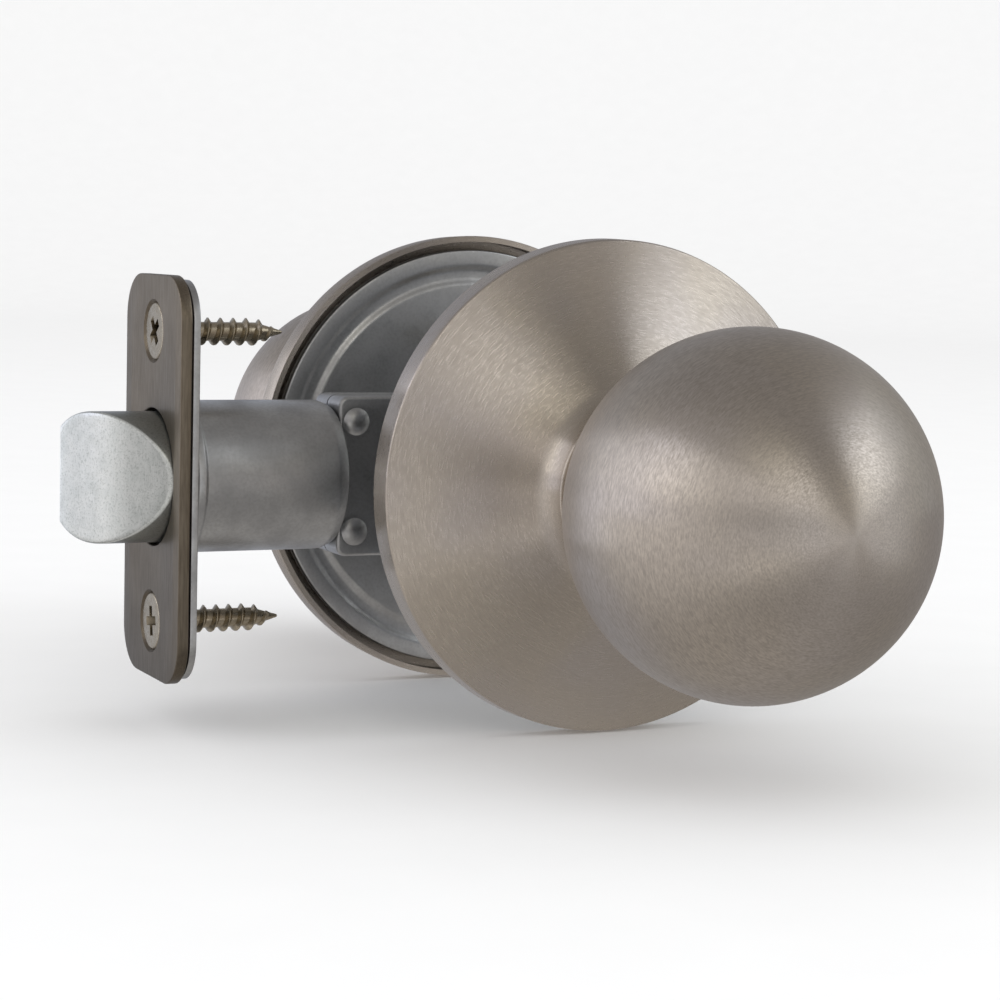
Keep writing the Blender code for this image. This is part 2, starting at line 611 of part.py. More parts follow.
def retractor_slide():
    """Forked plate beside the hub's arms, with a tab in front of each arm and an eye for the rod."""
    near, far = 2.2, 3.2
    height, window = 10.4, 7.0
    tab_low = 7.7
    front, window_front = -25.6, -18.0
    tab_back = TAB_FACE + 1.0
    slide = box("retractor_slide", (front, near, -height), (tab_back, far, height), PLATED_STEEL)
    cut(slide, box("slide_window", (window_front, near - 1, -window),
                   (tab_back + 1, far + 1, window), is_cutter=True))
    for label, low, high in (("upper", tab_low, height), ("lower", -height, -tab_low)):
        join(slide, box(f"slide_tab_{label}", (TAB_FACE, -1.4, low), (tab_back, far, high),
                        is_cutter=True))
    join(slide, box("slide_eye", (front, -3.0, -4.0), (front + 1.2, far, 4.0), is_cutter=True))
    cut(slide, rod("slide_eye_hole", ROD_RADIUS + GAP, (front - 1, 0, 0), (front + 1.4, 0, 0),
                   is_cutter=True))
    return slide


hub()
retractor_slide()
RETRACTOR_SPRING_HEIGHT = 8.95
for label, height in (("upper", RETRACTOR_SPRING_HEIGHT), ("lower", -RETRACTOR_SPRING_HEIGHT)):
    coil(f"retractor_spring_{label}", 1.2, 0.3, 6.0, (TAB_FACE + 1.0 + SEAT_GAP, 0, height),
         (CASE_REAR - CASE_WALL - SEAT_GAP, 0, height), SPRING_STEEL, points_per_turn=8)
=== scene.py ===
"""Looks of the door knob set: fine meshes, brushed metals, a pale floor and soft studio light."""

import json
import math

import bmesh
import bpy
from mathutils import Matrix, Vector

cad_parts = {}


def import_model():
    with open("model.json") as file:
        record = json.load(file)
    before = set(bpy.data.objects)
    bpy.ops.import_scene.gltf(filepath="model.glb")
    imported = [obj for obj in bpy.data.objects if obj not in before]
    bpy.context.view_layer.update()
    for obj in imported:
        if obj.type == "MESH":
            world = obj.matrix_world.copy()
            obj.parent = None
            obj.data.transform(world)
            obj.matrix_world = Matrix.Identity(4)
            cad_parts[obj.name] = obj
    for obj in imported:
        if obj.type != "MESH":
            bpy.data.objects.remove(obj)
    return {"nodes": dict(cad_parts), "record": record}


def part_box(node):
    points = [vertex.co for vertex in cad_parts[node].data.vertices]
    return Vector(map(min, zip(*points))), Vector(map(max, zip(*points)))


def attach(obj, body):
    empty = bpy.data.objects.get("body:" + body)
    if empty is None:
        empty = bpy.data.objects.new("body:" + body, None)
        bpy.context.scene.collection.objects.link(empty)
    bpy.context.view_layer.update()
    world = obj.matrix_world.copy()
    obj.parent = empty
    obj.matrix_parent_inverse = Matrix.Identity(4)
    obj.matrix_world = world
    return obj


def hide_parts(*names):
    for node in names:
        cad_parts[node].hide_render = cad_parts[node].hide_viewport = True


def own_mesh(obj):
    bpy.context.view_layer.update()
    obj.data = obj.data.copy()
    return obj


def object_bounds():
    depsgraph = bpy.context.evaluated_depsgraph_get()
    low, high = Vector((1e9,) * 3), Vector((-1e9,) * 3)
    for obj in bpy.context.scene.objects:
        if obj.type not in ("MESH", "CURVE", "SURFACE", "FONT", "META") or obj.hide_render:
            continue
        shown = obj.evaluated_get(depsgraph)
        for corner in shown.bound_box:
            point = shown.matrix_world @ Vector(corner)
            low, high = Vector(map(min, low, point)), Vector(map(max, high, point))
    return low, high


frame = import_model()
cad_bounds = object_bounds()

MM = 0.001
SLOTS = {part["node"]: part["material_slot"] for part in frame["record"]["subparts"]}
BODIES = {node: body for body, nodes in frame["record"]["behaviour"]["bodies"].items() for node in nodes}


# --- sizes in mm, most of them taken from the frame ---
def span(node, axis):
    """Lowest and highest coordinate of a CAD node along one axis, in mm."""
    low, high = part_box(node)
    return low[axis] / MM, high[axis] / MM


DOOR_FACE = span("interior_rose", 1)[0]
ROSE_RADIUS = span("exterior_rose", 2)[1]
ROSE_TOP = span("interior_rose", 1)[1]
KNOB_END = span("interior_knob_shell", 1)[1]
LATCH_FRONT = -span("latch_faceplate", 0)[0]
BOLT_NOSE = -span("latch_bolt", 0)[0]
BOLT_BACK = -span("latch_bolt", 0)[1]
BOLT_RADIUS = span("latch_bolt", 2)[1]

BALL_RADIUS = 24.4
BALL_CENTRE = KNOB_END - BALL_RADIUS
NECK_RADIUS = 12.4
JOURNAL_RADIUS = 7.4
GROOVE_RADIUS = JOURNAL_RADIUS - 1.0
GROOVE_BACK, GROOVE_FRONT = 20.2, 21.8
SOCKET_HALF_WIDTH = 3.8
GAP = 0.35
BOLT_HOLE_RADIUS = BOLT_RADIUS + 0.45
FIXING_HEIGHT = sum(span("mounting_screw_upper", 2)) / 2
WOOD_SCREW_HEIGHT = sum(span("faceplate_screw_upper", 2)) / 2

# turns that lay a piece's local Z axis along the spindle or along the latch
OUTWARD = {"exterior": Matrix.Rotation(math.radians(90), 4, "X"),
           "interior": Matrix.Rotation(math.radians(-90), 4, "X")}
TO_EDGE = Matrix.Rotation(math.radians(-90), 4, "Y")


# --- node helpers -------------------------------
class Graph:
    """A short way to write the nodes of a material or a world."""

    def __init__(self, owner):
        owner.use_nodes = True
        self.owner = owner
        self.tree = owner.node_tree
        self.shader = self.tree.nodes.get("Principled BSDF")

    def add(self, kind, **settings):
        """A new node with these settings."""
        node = self.tree.nodes.new(kind)
        for key, value in settings.items():
            setattr(node, key, value)
        return node

    def put(self, value, socket):
        """Links a socket to another one, or sets its number, vector or colour."""
        if isinstance(value, bpy.types.NodeSocket):
            self.tree.links.new(value, socket)
        elif socket.type == "RGBA":
            socket.default_value = (*value, 1.0)
        else:
            socket.default_value = value

    def math(self, operation, *values):
        """A number worked out from other numbers."""
        node = self.add("ShaderNodeMath", operation=operation)
        for value, socket in zip(values, node.inputs):
            self.put(value, socket)
        return node.outputs[0]

    def split(self, vector):
        """The three coordinates of a vector."""
        node = self.add("ShaderNodeSeparateXYZ")
        self.put(vector, node.inputs[0])
        return node.outputs

    def vector(self, x, y, z):
        """A vector from three coordinates."""
        node = self.add("ShaderNodeCombineXYZ")
        for value, socket in zip((x, y, z), node.inputs):
            self.put(value, socket)
        return node.outputs[0]

    def coordinates(self, kind="Object"):
        """The surface point in metres, in the object's own frame, or another kind of coordinates."""
        return self.add("ShaderNodeTexCoord").outputs[kind]

    def stretched(self, *scales):
        """The surface point with each coordinate scaled on its own."""
        place = self.split(self.coordinates())
        return self.vector(*(self.math("MULTIPLY", part, scale) for part, scale in zip(place, scales)))

    def noise(self, vector, scale=1.0, detail=2.0, roughness=0.5, w=None):
        """Soft noise from 0 to 1, in four dimensions when w is given."""
        node = self.add("ShaderNodeTexNoise", noise_dimensions="3D" if w is None else "4D")
        self.put(vector, node.inputs["Vector"])
        if w is not None:
            self.put(w, node.inputs["W"])
        for name, value in (("Scale", scale), ("Detail", detail), ("Roughness", roughness)):
            node.inputs[name].default_value = value
        return node.outputs["Fac"]

    def remap(self, value, low, high, new_low=0.0, new_high=1.0):
        """A number moved from one range to another and held inside it."""
        node = self.add("ShaderNodeMapRange")
        for number, socket in zip((value, low, high, new_low, new_high), node.inputs):
            self.put(number, socket)
        return node.outputs[0]

    def mix(self, factor, first, second, blend="MIX"):
        """A colour blended from two others."""
        node = self.add("ShaderNodeMix", data_type="RGBA", blend_type=blend)
        self.put(factor, node.inputs["Factor"])
        colors = [socket for socket in node.inputs if socket.type == "RGBA"]
        for value, socket in zip((first, second), colors):
            self.put(value, socket)
        return next(socket for socket in node.outputs if socket.type == "RGBA")

    def multiply(self, color, factor):
        """A colour made darker or brighter by a number."""
        grey = self.add("ShaderNodeCombineColor")
        for socket in grey.inputs:
            self.put(factor, socket)
        return self.mix(1.0, color, grey.outputs[0], blend="MULTIPLY")

    def painted_recess_shade(self, color, reach, darkest):
        """Painted shade: a colour made darker in recesses and gaps narrower than reach, in metres."""
        occlusion = self.add("ShaderNodeAmbientOcclusion", samples=8)
        occlusion.inputs["Distance"].default_value = reach
        return self.multiply(color, self.remap(occlusion.outputs["AO"], 0.25, 0.85, darkest, 1.0))

    def bump(self, height, strength, distance):
        """Bumps the surface by a height from 0 to 1, times a distance in metres."""
        node = self.add("ShaderNodeBump")
        node.inputs["Strength"].default_value = strength
        node.inputs["Distance"].default_value = distance
        self.put(height, node.inputs["Height"])
        self.put(node.outputs[0], self.shader.inputs["Normal"])

    def surface(self, color, roughness, metallic=1.0, anisotropy=0.0, turn=0.0):
        """Colour and polish of the surface, and its stretched highlights where it is brushed."""
        self.put(color, self.shader.inputs["Base Color"])
        self.put(roughness, self.shader.inputs["Roughness"])
        self.shader.inputs["Metallic"].default_value = metallic
        self.shader.inputs["Anisotropic"].default_value = anisotropy
        self.shader.inputs["Anisotropic Rotation"].default_value = turn


# --- materials ----------------------------------
def turned_brushing(graph, line_width, streak_length):
    """Noise drawn out along circles round the Y axis, as a lathe's belt leaves it; lengths in metres."""
    least_radius, usual_radius = 0.0005, 0.02
    x, y, z = graph.split(graph.coordinates())
    radius = graph.math("SQRT", graph.math("ADD", graph.math("MULTIPLY", x, x), graph.math("MULTIPLY", z, z)))
    divisor = graph.math("MAXIMUM", radius, least_radius)
    streaks = usual_radius / streak_length
    vector = graph.vector(graph.math("MULTIPLY", radius, 1.0 / line_width),
                          graph.math("MULTIPLY", graph.math("DIVIDE", x, divisor), streaks),
                          graph.math("MULTIPLY", graph.math("DIVIDE", z, divisor), streaks))
    return graph.noise(vector, roughness=0.6, w=graph.math("MULTIPLY", y, 1.0 / line_width))


def satin_nickel(name, smoothest, roughest, anisotropy, line_width, contrast, depth):
    """Warm satin nickel on the knobs and roses, brushed in circles round the spindle."""
    warm, cool = (0.614, 0.554, 0.480), (0.597, 0.547, 0.508)
    streak, band = (0.45, 0.408, 0.362), (0.66, 0.60, 0.53)
    graph = Graph(bpy.data.materials.new(name))
    lines = turned_brushing(graph, line_width, streak_length=0.0008)
    bands = turned_brushing(graph, line_width=0.0009, streak_length=0.018)
    blotch = graph.noise(graph.coordinates(), scale=55.0)
    tinted = graph.mix(graph.remap(blotch, 0.40, 0.60), warm, cool)
    streaked = graph.mix(graph.remap(lines, 0.34, 0.66, 0.0, contrast), tinted, streak)
    color = graph.mix(graph.remap(bands, 0.35, 0.65, 0.0, 0.10), streaked, band)
    graph.surface(color, graph.remap(lines, 0.3, 0.7, smoothest, roughest), anisotropy=anisotropy,
                  turn=0.25)
    tangent = graph.add("ShaderNodeTangent", direction_type="RADIAL", axis="Y")
    graph.put(tangent.outputs[0], graph.shader.inputs["Tangent"])
    graph.bump(lines, depth, 0.00002)
    return graph.owner


def plate_nickel():
    """Darker satin nickel of the faceplate, brushed along its length, with painted light that makes it paler
    towards its top.
    """
    light, dark, worn = (0.220, 0.186, 0.142), (0.150, 0.127, 0.096), (0.27, 0.231, 0.181)
    graph = Graph(bpy.data.materials.new("plate_nickel_brushed"))
    lines = graph.noise(graph.stretched(4000.0, 6000.0, 260.0), detail=3.0, roughness=0.6)
    wear = graph.noise(graph.coordinates(), scale=150.0, detail=4.0)
    streaked = graph.mix(graph.remap(lines, 0.3, 0.7), light, dark)
    rubbed = graph.mix(graph.remap(wear, 0.45, 0.75, 0.0, 0.4), streaked, worn)
    # painted light: the plate is made darker at its foot and paler at its top
    height = graph.split(graph.coordinates())["Z"]
    plate_end = 0.028
    color = graph.multiply(rubbed, graph.remap(height, -plate_end, plate_end, 0.76, 1.16))
    graph.surface(color, graph.remap(lines, 0.3, 0.7, 0.30, 0.42), anisotropy=0.5)
    graph.bump(lines, 0.3, 0.00003)
    return graph.owner


def screw_nickel():
    """Bright, slightly yellow nickel plate on the screws, with painted shade in recesses and narrow gaps."""
    bright, dull = (0.54, 0.475, 0.365), (0.40, 0.345, 0.255)
    graph = Graph(bpy.data.materials.new("screw_nickel_plate"))
    grain = graph.noise(graph.coordinates(), scale=1500.0, detail=3.0)
    plate = graph.mix(graph.remap(grain, 0.35, 0.65), bright, dull)
    # painted shade: darker in the cross recess, between the threads and in the gap round the head
    graph.surface(graph.painted_recess_shade(plate, reach=0.0016, darkest=0.10), graph.remap(grain, 0.3, 0.7, 0.22, 0.36))
    graph.bump(grain, 0.2, 0.00003)
    return graph.owner


# how far a face of the bolt turns towards its nose, and how bright it is painted there: painted shade on the
# sides, a painted highlight and painted reflection bands on the bevel
BOLT_PAINTED_LIGHT = ((0.0, 0.50), (0.16, 0.54), (0.30, 0.95), (0.48, 1.0), (0.56, 0.72), (0.72, 0.70),
                (0.80, 0.98), (1.0, 0.93))


def bolt_painted_light(graph, cloud):
    """Painted shade, a painted highlight and painted reflection bands on the bolt, by how far each face turns
    towards its nose, with cloudy edges.
    """
    frontal = graph.split(graph.coordinates("Normal"))["X"]
    facing = graph.math("MULTIPLY_ADD", frontal, -1.0, graph.remap(cloud, 0.0, 1.0, -0.05, 0.05))
    node = graph.add("ShaderNodeValToRGB")
    elements = node.color_ramp.elements
    for position, _ in BOLT_PAINTED_LIGHT[1:-1]:
        elements.new(position)
    for element, (_, tone) in zip(elements, BOLT_PAINTED_LIGHT):
        element.color = (tone, tone, tone, 1.0)
    graph.put(facing, node.inputs[0])
    return node.outputs[0]


def cast_zinc():
    """Tumbled zinc casting of the bolt: pale, finely speckled, with faint upright scratches, and painted
    shade and painted reflection bands by which way each face turns.
    """
    pale, dull = (0.83, 0.86, 0.84), (0.72, 0.755, 0.735)
    speck, scratch = (0.42, 0.455, 0.43), (0.92, 0.94, 0.93)
    graph = Graph(bpy.data.materials.new("cast_zinc_tumbled"))
    cloud = graph.noise(graph.coordinates(), scale=420.0, detail=4.0, roughness=0.65)
    speckle = graph.noise(graph.coordinates(), scale=3200.0, detail=3.0, roughness=0.75)
    scratches = graph.noise(graph.stretched(5200.0, 5200.0, 700.0))
    tumbled = graph.mix(graph.remap(cloud, 0.36, 0.64), pale, dull)
    specked = graph.mix(graph.remap(speckle, 0.50, 0.66, 0.0, 0.6), tumbled, speck)
    scratched = graph.mix(graph.remap(scratches, 0.55, 0.72, 0.0, 0.5), specked, scratch)
    # painted light: shade on the bolt's sides, a highlight and reflection bands on its bevel, set by which
    # way each face turns
    color = graph.mix(1.0, scratched, bolt_painted_light(graph, cloud), blend="MULTIPLY")
    graph.surface(color, graph.remap(cloud, 0.35, 0.65, 0.28, 0.40), metallic=0.96)
    height = graph.math("ADD", graph.math("MULTIPLY", cloud, 1.5), graph.math("ADD", speckle, scratches))
    graph.bump(height, 0.4, 0.00004)
    return graph.owner


def plated_steel():
    """Clear zinc plate on stamped sheet, with a faint spangle."""
    light, dark, grey = (0.56, 0.57, 0.57), (0.44, 0.445, 0.45), (0.34, 0.34, 0.34)
    graph = Graph(bpy.data.materials.new("plated_steel_sheet"))
    cloud = graph.noise(graph.coordinates(), scale=180.0, detail=4.0)
    grain = graph.noise(graph.coordinates(), scale=2200.0)
    sheet = graph.mix(graph.remap(cloud, 0.35, 0.65), light, dark)
    color = graph.mix(graph.remap(grain, 0.4, 0.7, 0.0, 0.35), sheet, grey)
    graph.surface(color, graph.remap(cloud, 0.3, 0.7, 0.30, 0.46))
    graph.bump(grain, 0.15, 0.00004)
    return graph.owner


def grained(name, light, dark, scale, detail, smoothest, roughest, strength, distance, metallic=1.0):
    """A plain material in two close tones with a fine grain."""
    graph = Graph(bpy.data.materials.new(name))
    grain = graph.noise(graph.coordinates(), scale=scale, detail=detail)
    graph.surface(graph.mix(graph.remap(grain, 0.3, 0.7), light, dark),
                  graph.remap(grain, 0.3, 0.7, smoothest, roughest), metallic=metallic)
    graph.bump(grain, strength, distance)
    return graph.owner


def spring_steel():
    """Drawn steel wire."""
    return grained("spring_steel_wire", (0.46, 0.46, 0.46), (0.32, 0.32, 0.33), scale=1800.0, detail=2.0,
                   smoothest=0.24, roughest=0.38, strength=0.15, distance=0.00002)


def nylon():
    """Natural nylon of the bushings."""
    return grained("nylon_natural", (0.80, 0.79, 0.74), (0.74, 0.72, 0.66), scale=1200.0, detail=3.0,
                   smoothest=0.42, roughest=0.58, strength=0.2, distance=0.00004, metallic=0.0)


# one finish for each material slot; the roses have a finer brushing than the knobs
FINISHES = {"satin_nickel": satin_nickel("satin_nickel_ball", smoothest=0.29, roughest=0.40,
                                         anisotropy=0.84, line_width=0.00019, contrast=0.95, depth=0.75),
            "satin_nickel_rose": satin_nickel("satin_nickel_rose", smoothest=0.25, roughest=0.34,
                                              anisotropy=0.95, line_width=0.00014, contrast=0.50,
                                              depth=0.10),
            "plate_nickel": plate_nickel(), "screw_nickel": screw_nickel(),
            "cast_zinc": cast_zinc(), "plated_steel": plated_steel(), "spring_steel": spring_steel(),
            "nylon": nylon()}


# --- mesh helpers -------------------------------
def show(piece, node, smooth_angle=35.0, finish=None):
    """Gives a new piece its node's body, slot and finish, and hides the node it stands for."""
    if piece.type == "MESH":
        piece.data.shade_smooth()
        piece.data.set_sharp_from_angle(angle=math.radians(smooth_angle))
    piece.data.materials.clear()
    piece.data.materials.append(FINISHES[finish or SLOTS[node]])
    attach(piece, BODIES[node])
    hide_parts(node)


def link(name, data):
    """A new object in the scene."""
    piece = bpy.data.objects.new(name, data)
    bpy.context.scene.collection.objects.link(piece)
    return piece


def frozen(piece):
    """Turns a piece and its modifiers into a plain mesh."""
    bpy.context.view_layer.update()
    evaluated = piece.evaluated_get(bpy.context.evaluated_depsgraph_get())
    mesh = bpy.data.meshes.new_from_object(evaluated)
    place = piece.matrix_world.copy()
    name = piece.name
    bpy.data.objects.remove(piece)
    mesh.transform(place)
    mesh.name = name
    return link(name, mesh)


def eased(outline, radius, closed=False, steps=3):
    """The same outline with each corner rounded by about radius (mm)."""
    nearly_straight, most_of_side = math.radians(160), 0.45
    points = [Vector(point) for point in outline]
    count = len(points)
    result = []
    for i, point in enumerate(points):
        before, after = points[i - 1] - point, points[(i + 1) % count] - point
        open_end = not closed and i in (0, count - 1)
        if open_end or before.angle(after, math.pi) > nearly_straight:
            result.append(tuple(point))
            continue
        reach = min(radius, before.length * most_of_side, after.length * most_of_side)
        start, end = point + before.normalized() * reach, point + after.normalized() * reach
        result += sweep(start, point, end, steps)
    return result


def turned(name, outline, placement, steps=128, closed=False, location=(0, 0, 0)):
    """Turns an outline of (radius, height) points in mm about the local Z axis, from its top outwards."""
    circle = [(math.cos(2 * math.pi * i / steps), math.sin(2 * math.pi * i / steps)) for i in range(steps)]
    bm = bmesh.new()
    rings = []
    for radius, height in outline:
        points = [(radius * MM * x, radius * MM * y, height * MM) for x, y in circle]
        rings.append([bm.verts.new(point) for point in (points if radius > 0 else points[:1])])
    pairs = list(zip(rings, rings[1:]))
    if closed:
        pairs.append((rings[-1], rings[0]))
    for upper, lower in pairs:
        for i in range(steps):
            j = (i + 1) % steps
            corners = [upper[0]] if len(upper) == 1 else [upper[j], upper[i]]
            corners += [lower[0]] if len(lower) == 1 else [lower[i], lower[j]]
            if len(corners) > 2:
                bm.faces.new(corners)
    return formed(name, bm, Matrix.Translation(Vector(location) * MM) @ placement)


def bridge(bm, rings):
    """Fills the gap between each ring of a bmesh and the next one with faces."""
    for first, second in zip(rings, rings[1:]):
        for i in range(len(first)):
            j = (i + 1) % len(first)
            bm.faces.new((first[i], first[j], second[j], second[i]))
    bm.faces.new(rings[0][::-1])
    bm.faces.new(rings[-1])
    bmesh.ops.recalc_face_normals(bm, faces=bm.faces)


def arc(centre, radius, first, last, count):
    """Points on a circle in the (radius, height) plane; angles in degrees from the radius axis."""
    angles = [math.radians(first + (last - first) * i / count) for i in range(count + 1)]
    return [(centre[0] + radius * math.cos(a), centre[1] + radius * math.sin(a)) for a in angles]


def rounded_rectangle(length, width, corner, count):
    """Points round a rectangle centred on zero, with count steps in each round corner."""
    points = []
    for along, across, first in ((1, 1, 0), (-1, 1, 90), (-1, -1, 180), (1, -1, 270)):
        centre = (along * (length / 2 - corner), across * (width / 2 - corner))
        points += arc(centre, corner, first, first + 90, count)
    return points


def sweep(start, control, end, count):
    """A quadratic curve from start to end that leaves and arrives towards control."""
    points = []
    for i in range(count + 1):
        t = i / count
        weights = ((1 - t) ** 2, 2 * t * (1 - t), t * t)
        points.append(tuple(sum(w * p[k] for w, p in zip(weights, (start, control, end)))
                            for k in range(2)))
    return points


def formed(name, bm, place=Matrix()):
    """An object made from a bmesh, which is used up."""
    mesh = bpy.data.meshes.new(name)
    bm.to_mesh(mesh)
    bm.free()
    mesh.transform(place)
    return link(name, mesh)


def shaped(piece, tools, operation):
    """Cuts the tools from a piece, or joins them to it, and takes them away."""
    for each in tools:
        change = piece.modifiers.new("shape", "BOOLEAN")
        change.operation = operation
        change.object = each
        change.solver = "EXACT"
    result = frozen(piece)
    for each in tools:
        bpy.data.objects.remove(each)
    return result


def cut(piece, tools):
    """A piece with the tools' shapes cut out of it."""
    return shaped(piece, tools, "DIFFERENCE")


def join(piece, tools):
    """A piece grown together with the tools' shapes."""
    return shaped(piece, tools, "UNION")


def block(low, high):
    """A box between two corners in mm."""
    bm = bmesh.new()
    bmesh.ops.create_cube(bm, size=1.0)
    low, high = Vector(low) * MM, Vector(high) * MM
    bmesh.ops.transform(bm, verts=bm.verts, matrix=Matrix.Translation((low + high) / 2)
                        @ Matrix.Diagonal((*(high - low), 1.0)))
    return bm


def cone(first_radius, second_radius, start, end, steps=64):
    """A cone or cylinder between two points in mm, with a radius at each."""
    start, end = Vector(start) * MM, Vector(end) * MM
    axis = end - start
    turn = axis.to_track_quat("Z", "Y").to_matrix().to_4x4()
    bm = bmesh.new()
    bmesh.ops.create_cone(bm, cap_ends=True, segments=steps, radius1=first_radius * MM,
                          radius2=second_radius * MM, depth=axis.length,
                          matrix=Matrix.Translation((start + end) / 2) @ turn)
    return bm


def cross_tools(centre, axis, size, depth, turned_by):
    """Two crossed, tapered wings of a cross recess, turned by an angle in degrees."""
    narrowed, mouth_width, floor_width, above = 0.40, 1.35, 0.80, 0.3
    tools = []
    turn = Vector(axis).to_track_quat("Z", "Y").to_matrix().to_4x4()
    for index in range(2):
        bm = bmesh.new()
        bmesh.ops.create_cube(bm, size=1.0)
        for vertex in bm.verts:
            deep = vertex.co.z < 0
            vertex.co.x *= size * (narrowed if deep else 1.0) * MM
            vertex.co.y *= (floor_width if deep else mouth_width) * MM
            vertex.co.z = (-depth if deep else above) * MM
        spin = Matrix.Rotation(math.radians(turned_by + 90 * index), 4, "Z")
        place = Matrix.Translation(Vector(centre) * MM) @ turn @ spin
        tools.append(formed(f"cross_{index}", bm, place))
    return tools


def thread(core, crest, pitch, start, end, taper=0.0, steps=28):
    """A helical ridge round the local Z axis, in mm; taper is the length that runs down to a point."""
    root_half, crest_half = 0.30 * pitch, 0.036 * pitch
    faint, blunt, lag, sunk = 0.15, 0.4, 0.2, 0.97
    turns = abs(end - start) / pitch
    count = int(turns * steps)
    bm = bmesh.new()
    sections = []
    for i in range(count + 1):
        along = i / count
        height = start + (end - start) * along
        fade = min(1.0, faint + along * turns, faint + (1 - along) * turns)
        shrink = 1.0 if taper == 0 else min(1.0, (abs(end - height) + blunt) / taper)
        inner = core * shrink * sunk
        outer = core * shrink + (crest - core) * fade * min(1.0, shrink + lag)
        angle = 2 * math.pi * i / steps
        direction = Vector((math.cos(angle), math.sin(angle), 0))
        corners = [direction * radius + Vector((0, 0, height + rise))
                   for radius, rise in ((inner, -root_half), (outer, -crest_half), (outer, crest_half),
                                        (inner, root_half))]
        sections.append([bm.verts.new(corner * MM) for corner in corners])
    bridge(bm, sections)
    return bm


def with_ridge(piece, ridge):
    """Adds a thread's mesh to a screw."""
    bm = bmesh.new()
    bm.from_mesh(piece.data)
    bm.from_mesh(ridge.data)
    bm.to_mesh(piece.data)
    bm.free()
    bpy.data.objects.remove(ridge)
    return piece


# --- knobs and roses ----------------------------
def ball(side):
    """Hollow ball, drawn thin and open towards the neck."""
    opening, thickness = NECK_RADIUS + GAP, 1.2
    inner_radius = BALL_RADIUS - thickness
    outer_angle = -math.degrees(math.acos(opening / BALL_RADIUS))
    inner_angle = -math.degrees(math.acos(opening / inner_radius))
    outline = arc((0, BALL_CENTRE), BALL_RADIUS, 90, outer_angle, 84)
    outline += arc((0, BALL_CENTRE), inner_radius, inner_angle, 90, 24)
    outline[0], outline[-1] = (0.0, outline[0][1]), (0.0, outline[-1][1])
    show(turned(f"{side}_ball", outline, OUTWARD[side], steps=192), f"{side}_knob_shell")


def shank(side):
    """Neck with a flange inside the ball, a grooved journal and a square socket for the spindle."""
    flange_radius, flange_front, flange_back = 13.8, 48.6, 47.3
    neck_back, end, socket_depth = 25.6, 19.2, 39.0
    outline = [(0, flange_front), (flange_radius, flange_front), (flange_radius, flange_back),
               (NECK_RADIUS, flange_back), (NECK_RADIUS, neck_back), (JOURNAL_RADIUS, neck_back),
               (JOURNAL_RADIUS, GROOVE_FRONT), (GROOVE_RADIUS, GROOVE_FRONT), (GROOVE_RADIUS, GROOVE_BACK),
               (JOURNAL_RADIUS, GROOVE_BACK), (JOURNAL_RADIUS, end), (0, end)]
    piece = turned(f"{side}_shank", eased(outline, 0.2), OUTWARD[side], steps=96)
    half = SOCKET_HALF_WIDTH
    socket = formed("socket", block((-half, -half, end - 1), (half, half, socket_depth)), OUTWARD[side])
    show(cut(piece, [socket]), f"{side}_knob_shank")


def rose(side):
    """Spun cover: a rim, a hollow flare up to a slim collar, and a bore for the neck."""
    bore, collar, thickness, head_hole = NECK_RADIUS + GAP, 13.45, 0.9, 4.3
    rounding, bore_edge, lip, lip_height = 0.3, 0.15, 0.1, 0.2
    rim_top = DOOR_FACE + 3.9
    shoulder, shoulder_corner = (ROSE_RADIUS - 0.5, rim_top + 0.45), (ROSE_RADIUS - lip, rim_top + 0.4)
    flare_bend, flare_head = (24.0, DOOR_FACE + 6.3), (15.6, DOOR_FACE + 10.4)
    neck_bend, neck_head = (14.1, DOOR_FACE + 11.1), (collar, ROSE_TOP - 0.4)
    outline = [(bore, ROSE_TOP - bore_edge), (bore + bore_edge, ROSE_TOP)]
    outline += arc((collar - rounding, ROSE_TOP - rounding), rounding, 90, 0, 4)
    outline += sweep(neck_head, neck_bend, flare_head, 14)
    outline += sweep(flare_head, flare_bend, shoulder, 40)[1:]
    outline += sweep(shoulder, shoulder_corner, (ROSE_RADIUS - lip, rim_top), 8)[1:]
    outline += [(ROSE_RADIUS, DOOR_FACE + lip_height), (ROSE_RADIUS - lip, DOOR_FACE),
                (ROSE_RADIUS - thickness, DOOR_FACE)]
    inside = sweep((shoulder[0] - rounding, shoulder[1]), flare_bend, flare_head, 20)
    outline += [(radius, height - thickness) for radius, height in inside]
    outline += [(bore, flare_head[1])]
    piece = turned(f"{side}_rose_cover", outline, OUTWARD[side], steps=256, closed=True)
    if side == "interior":
        piece = cut(piece, [formed("head_hole", cone(head_hole, head_hole, (0, DOOR_FACE - 1, height),
                                                    (0, ROSE_TOP, height)))
                            for height in (FIXING_HEIGHT, -FIXING_HEIGHT)])
    show(piece, f"{side}_rose", finish="satin_nickel_rose")


for side in OUTWARD:
    ball(side)
    shank(side)
    rose(side)


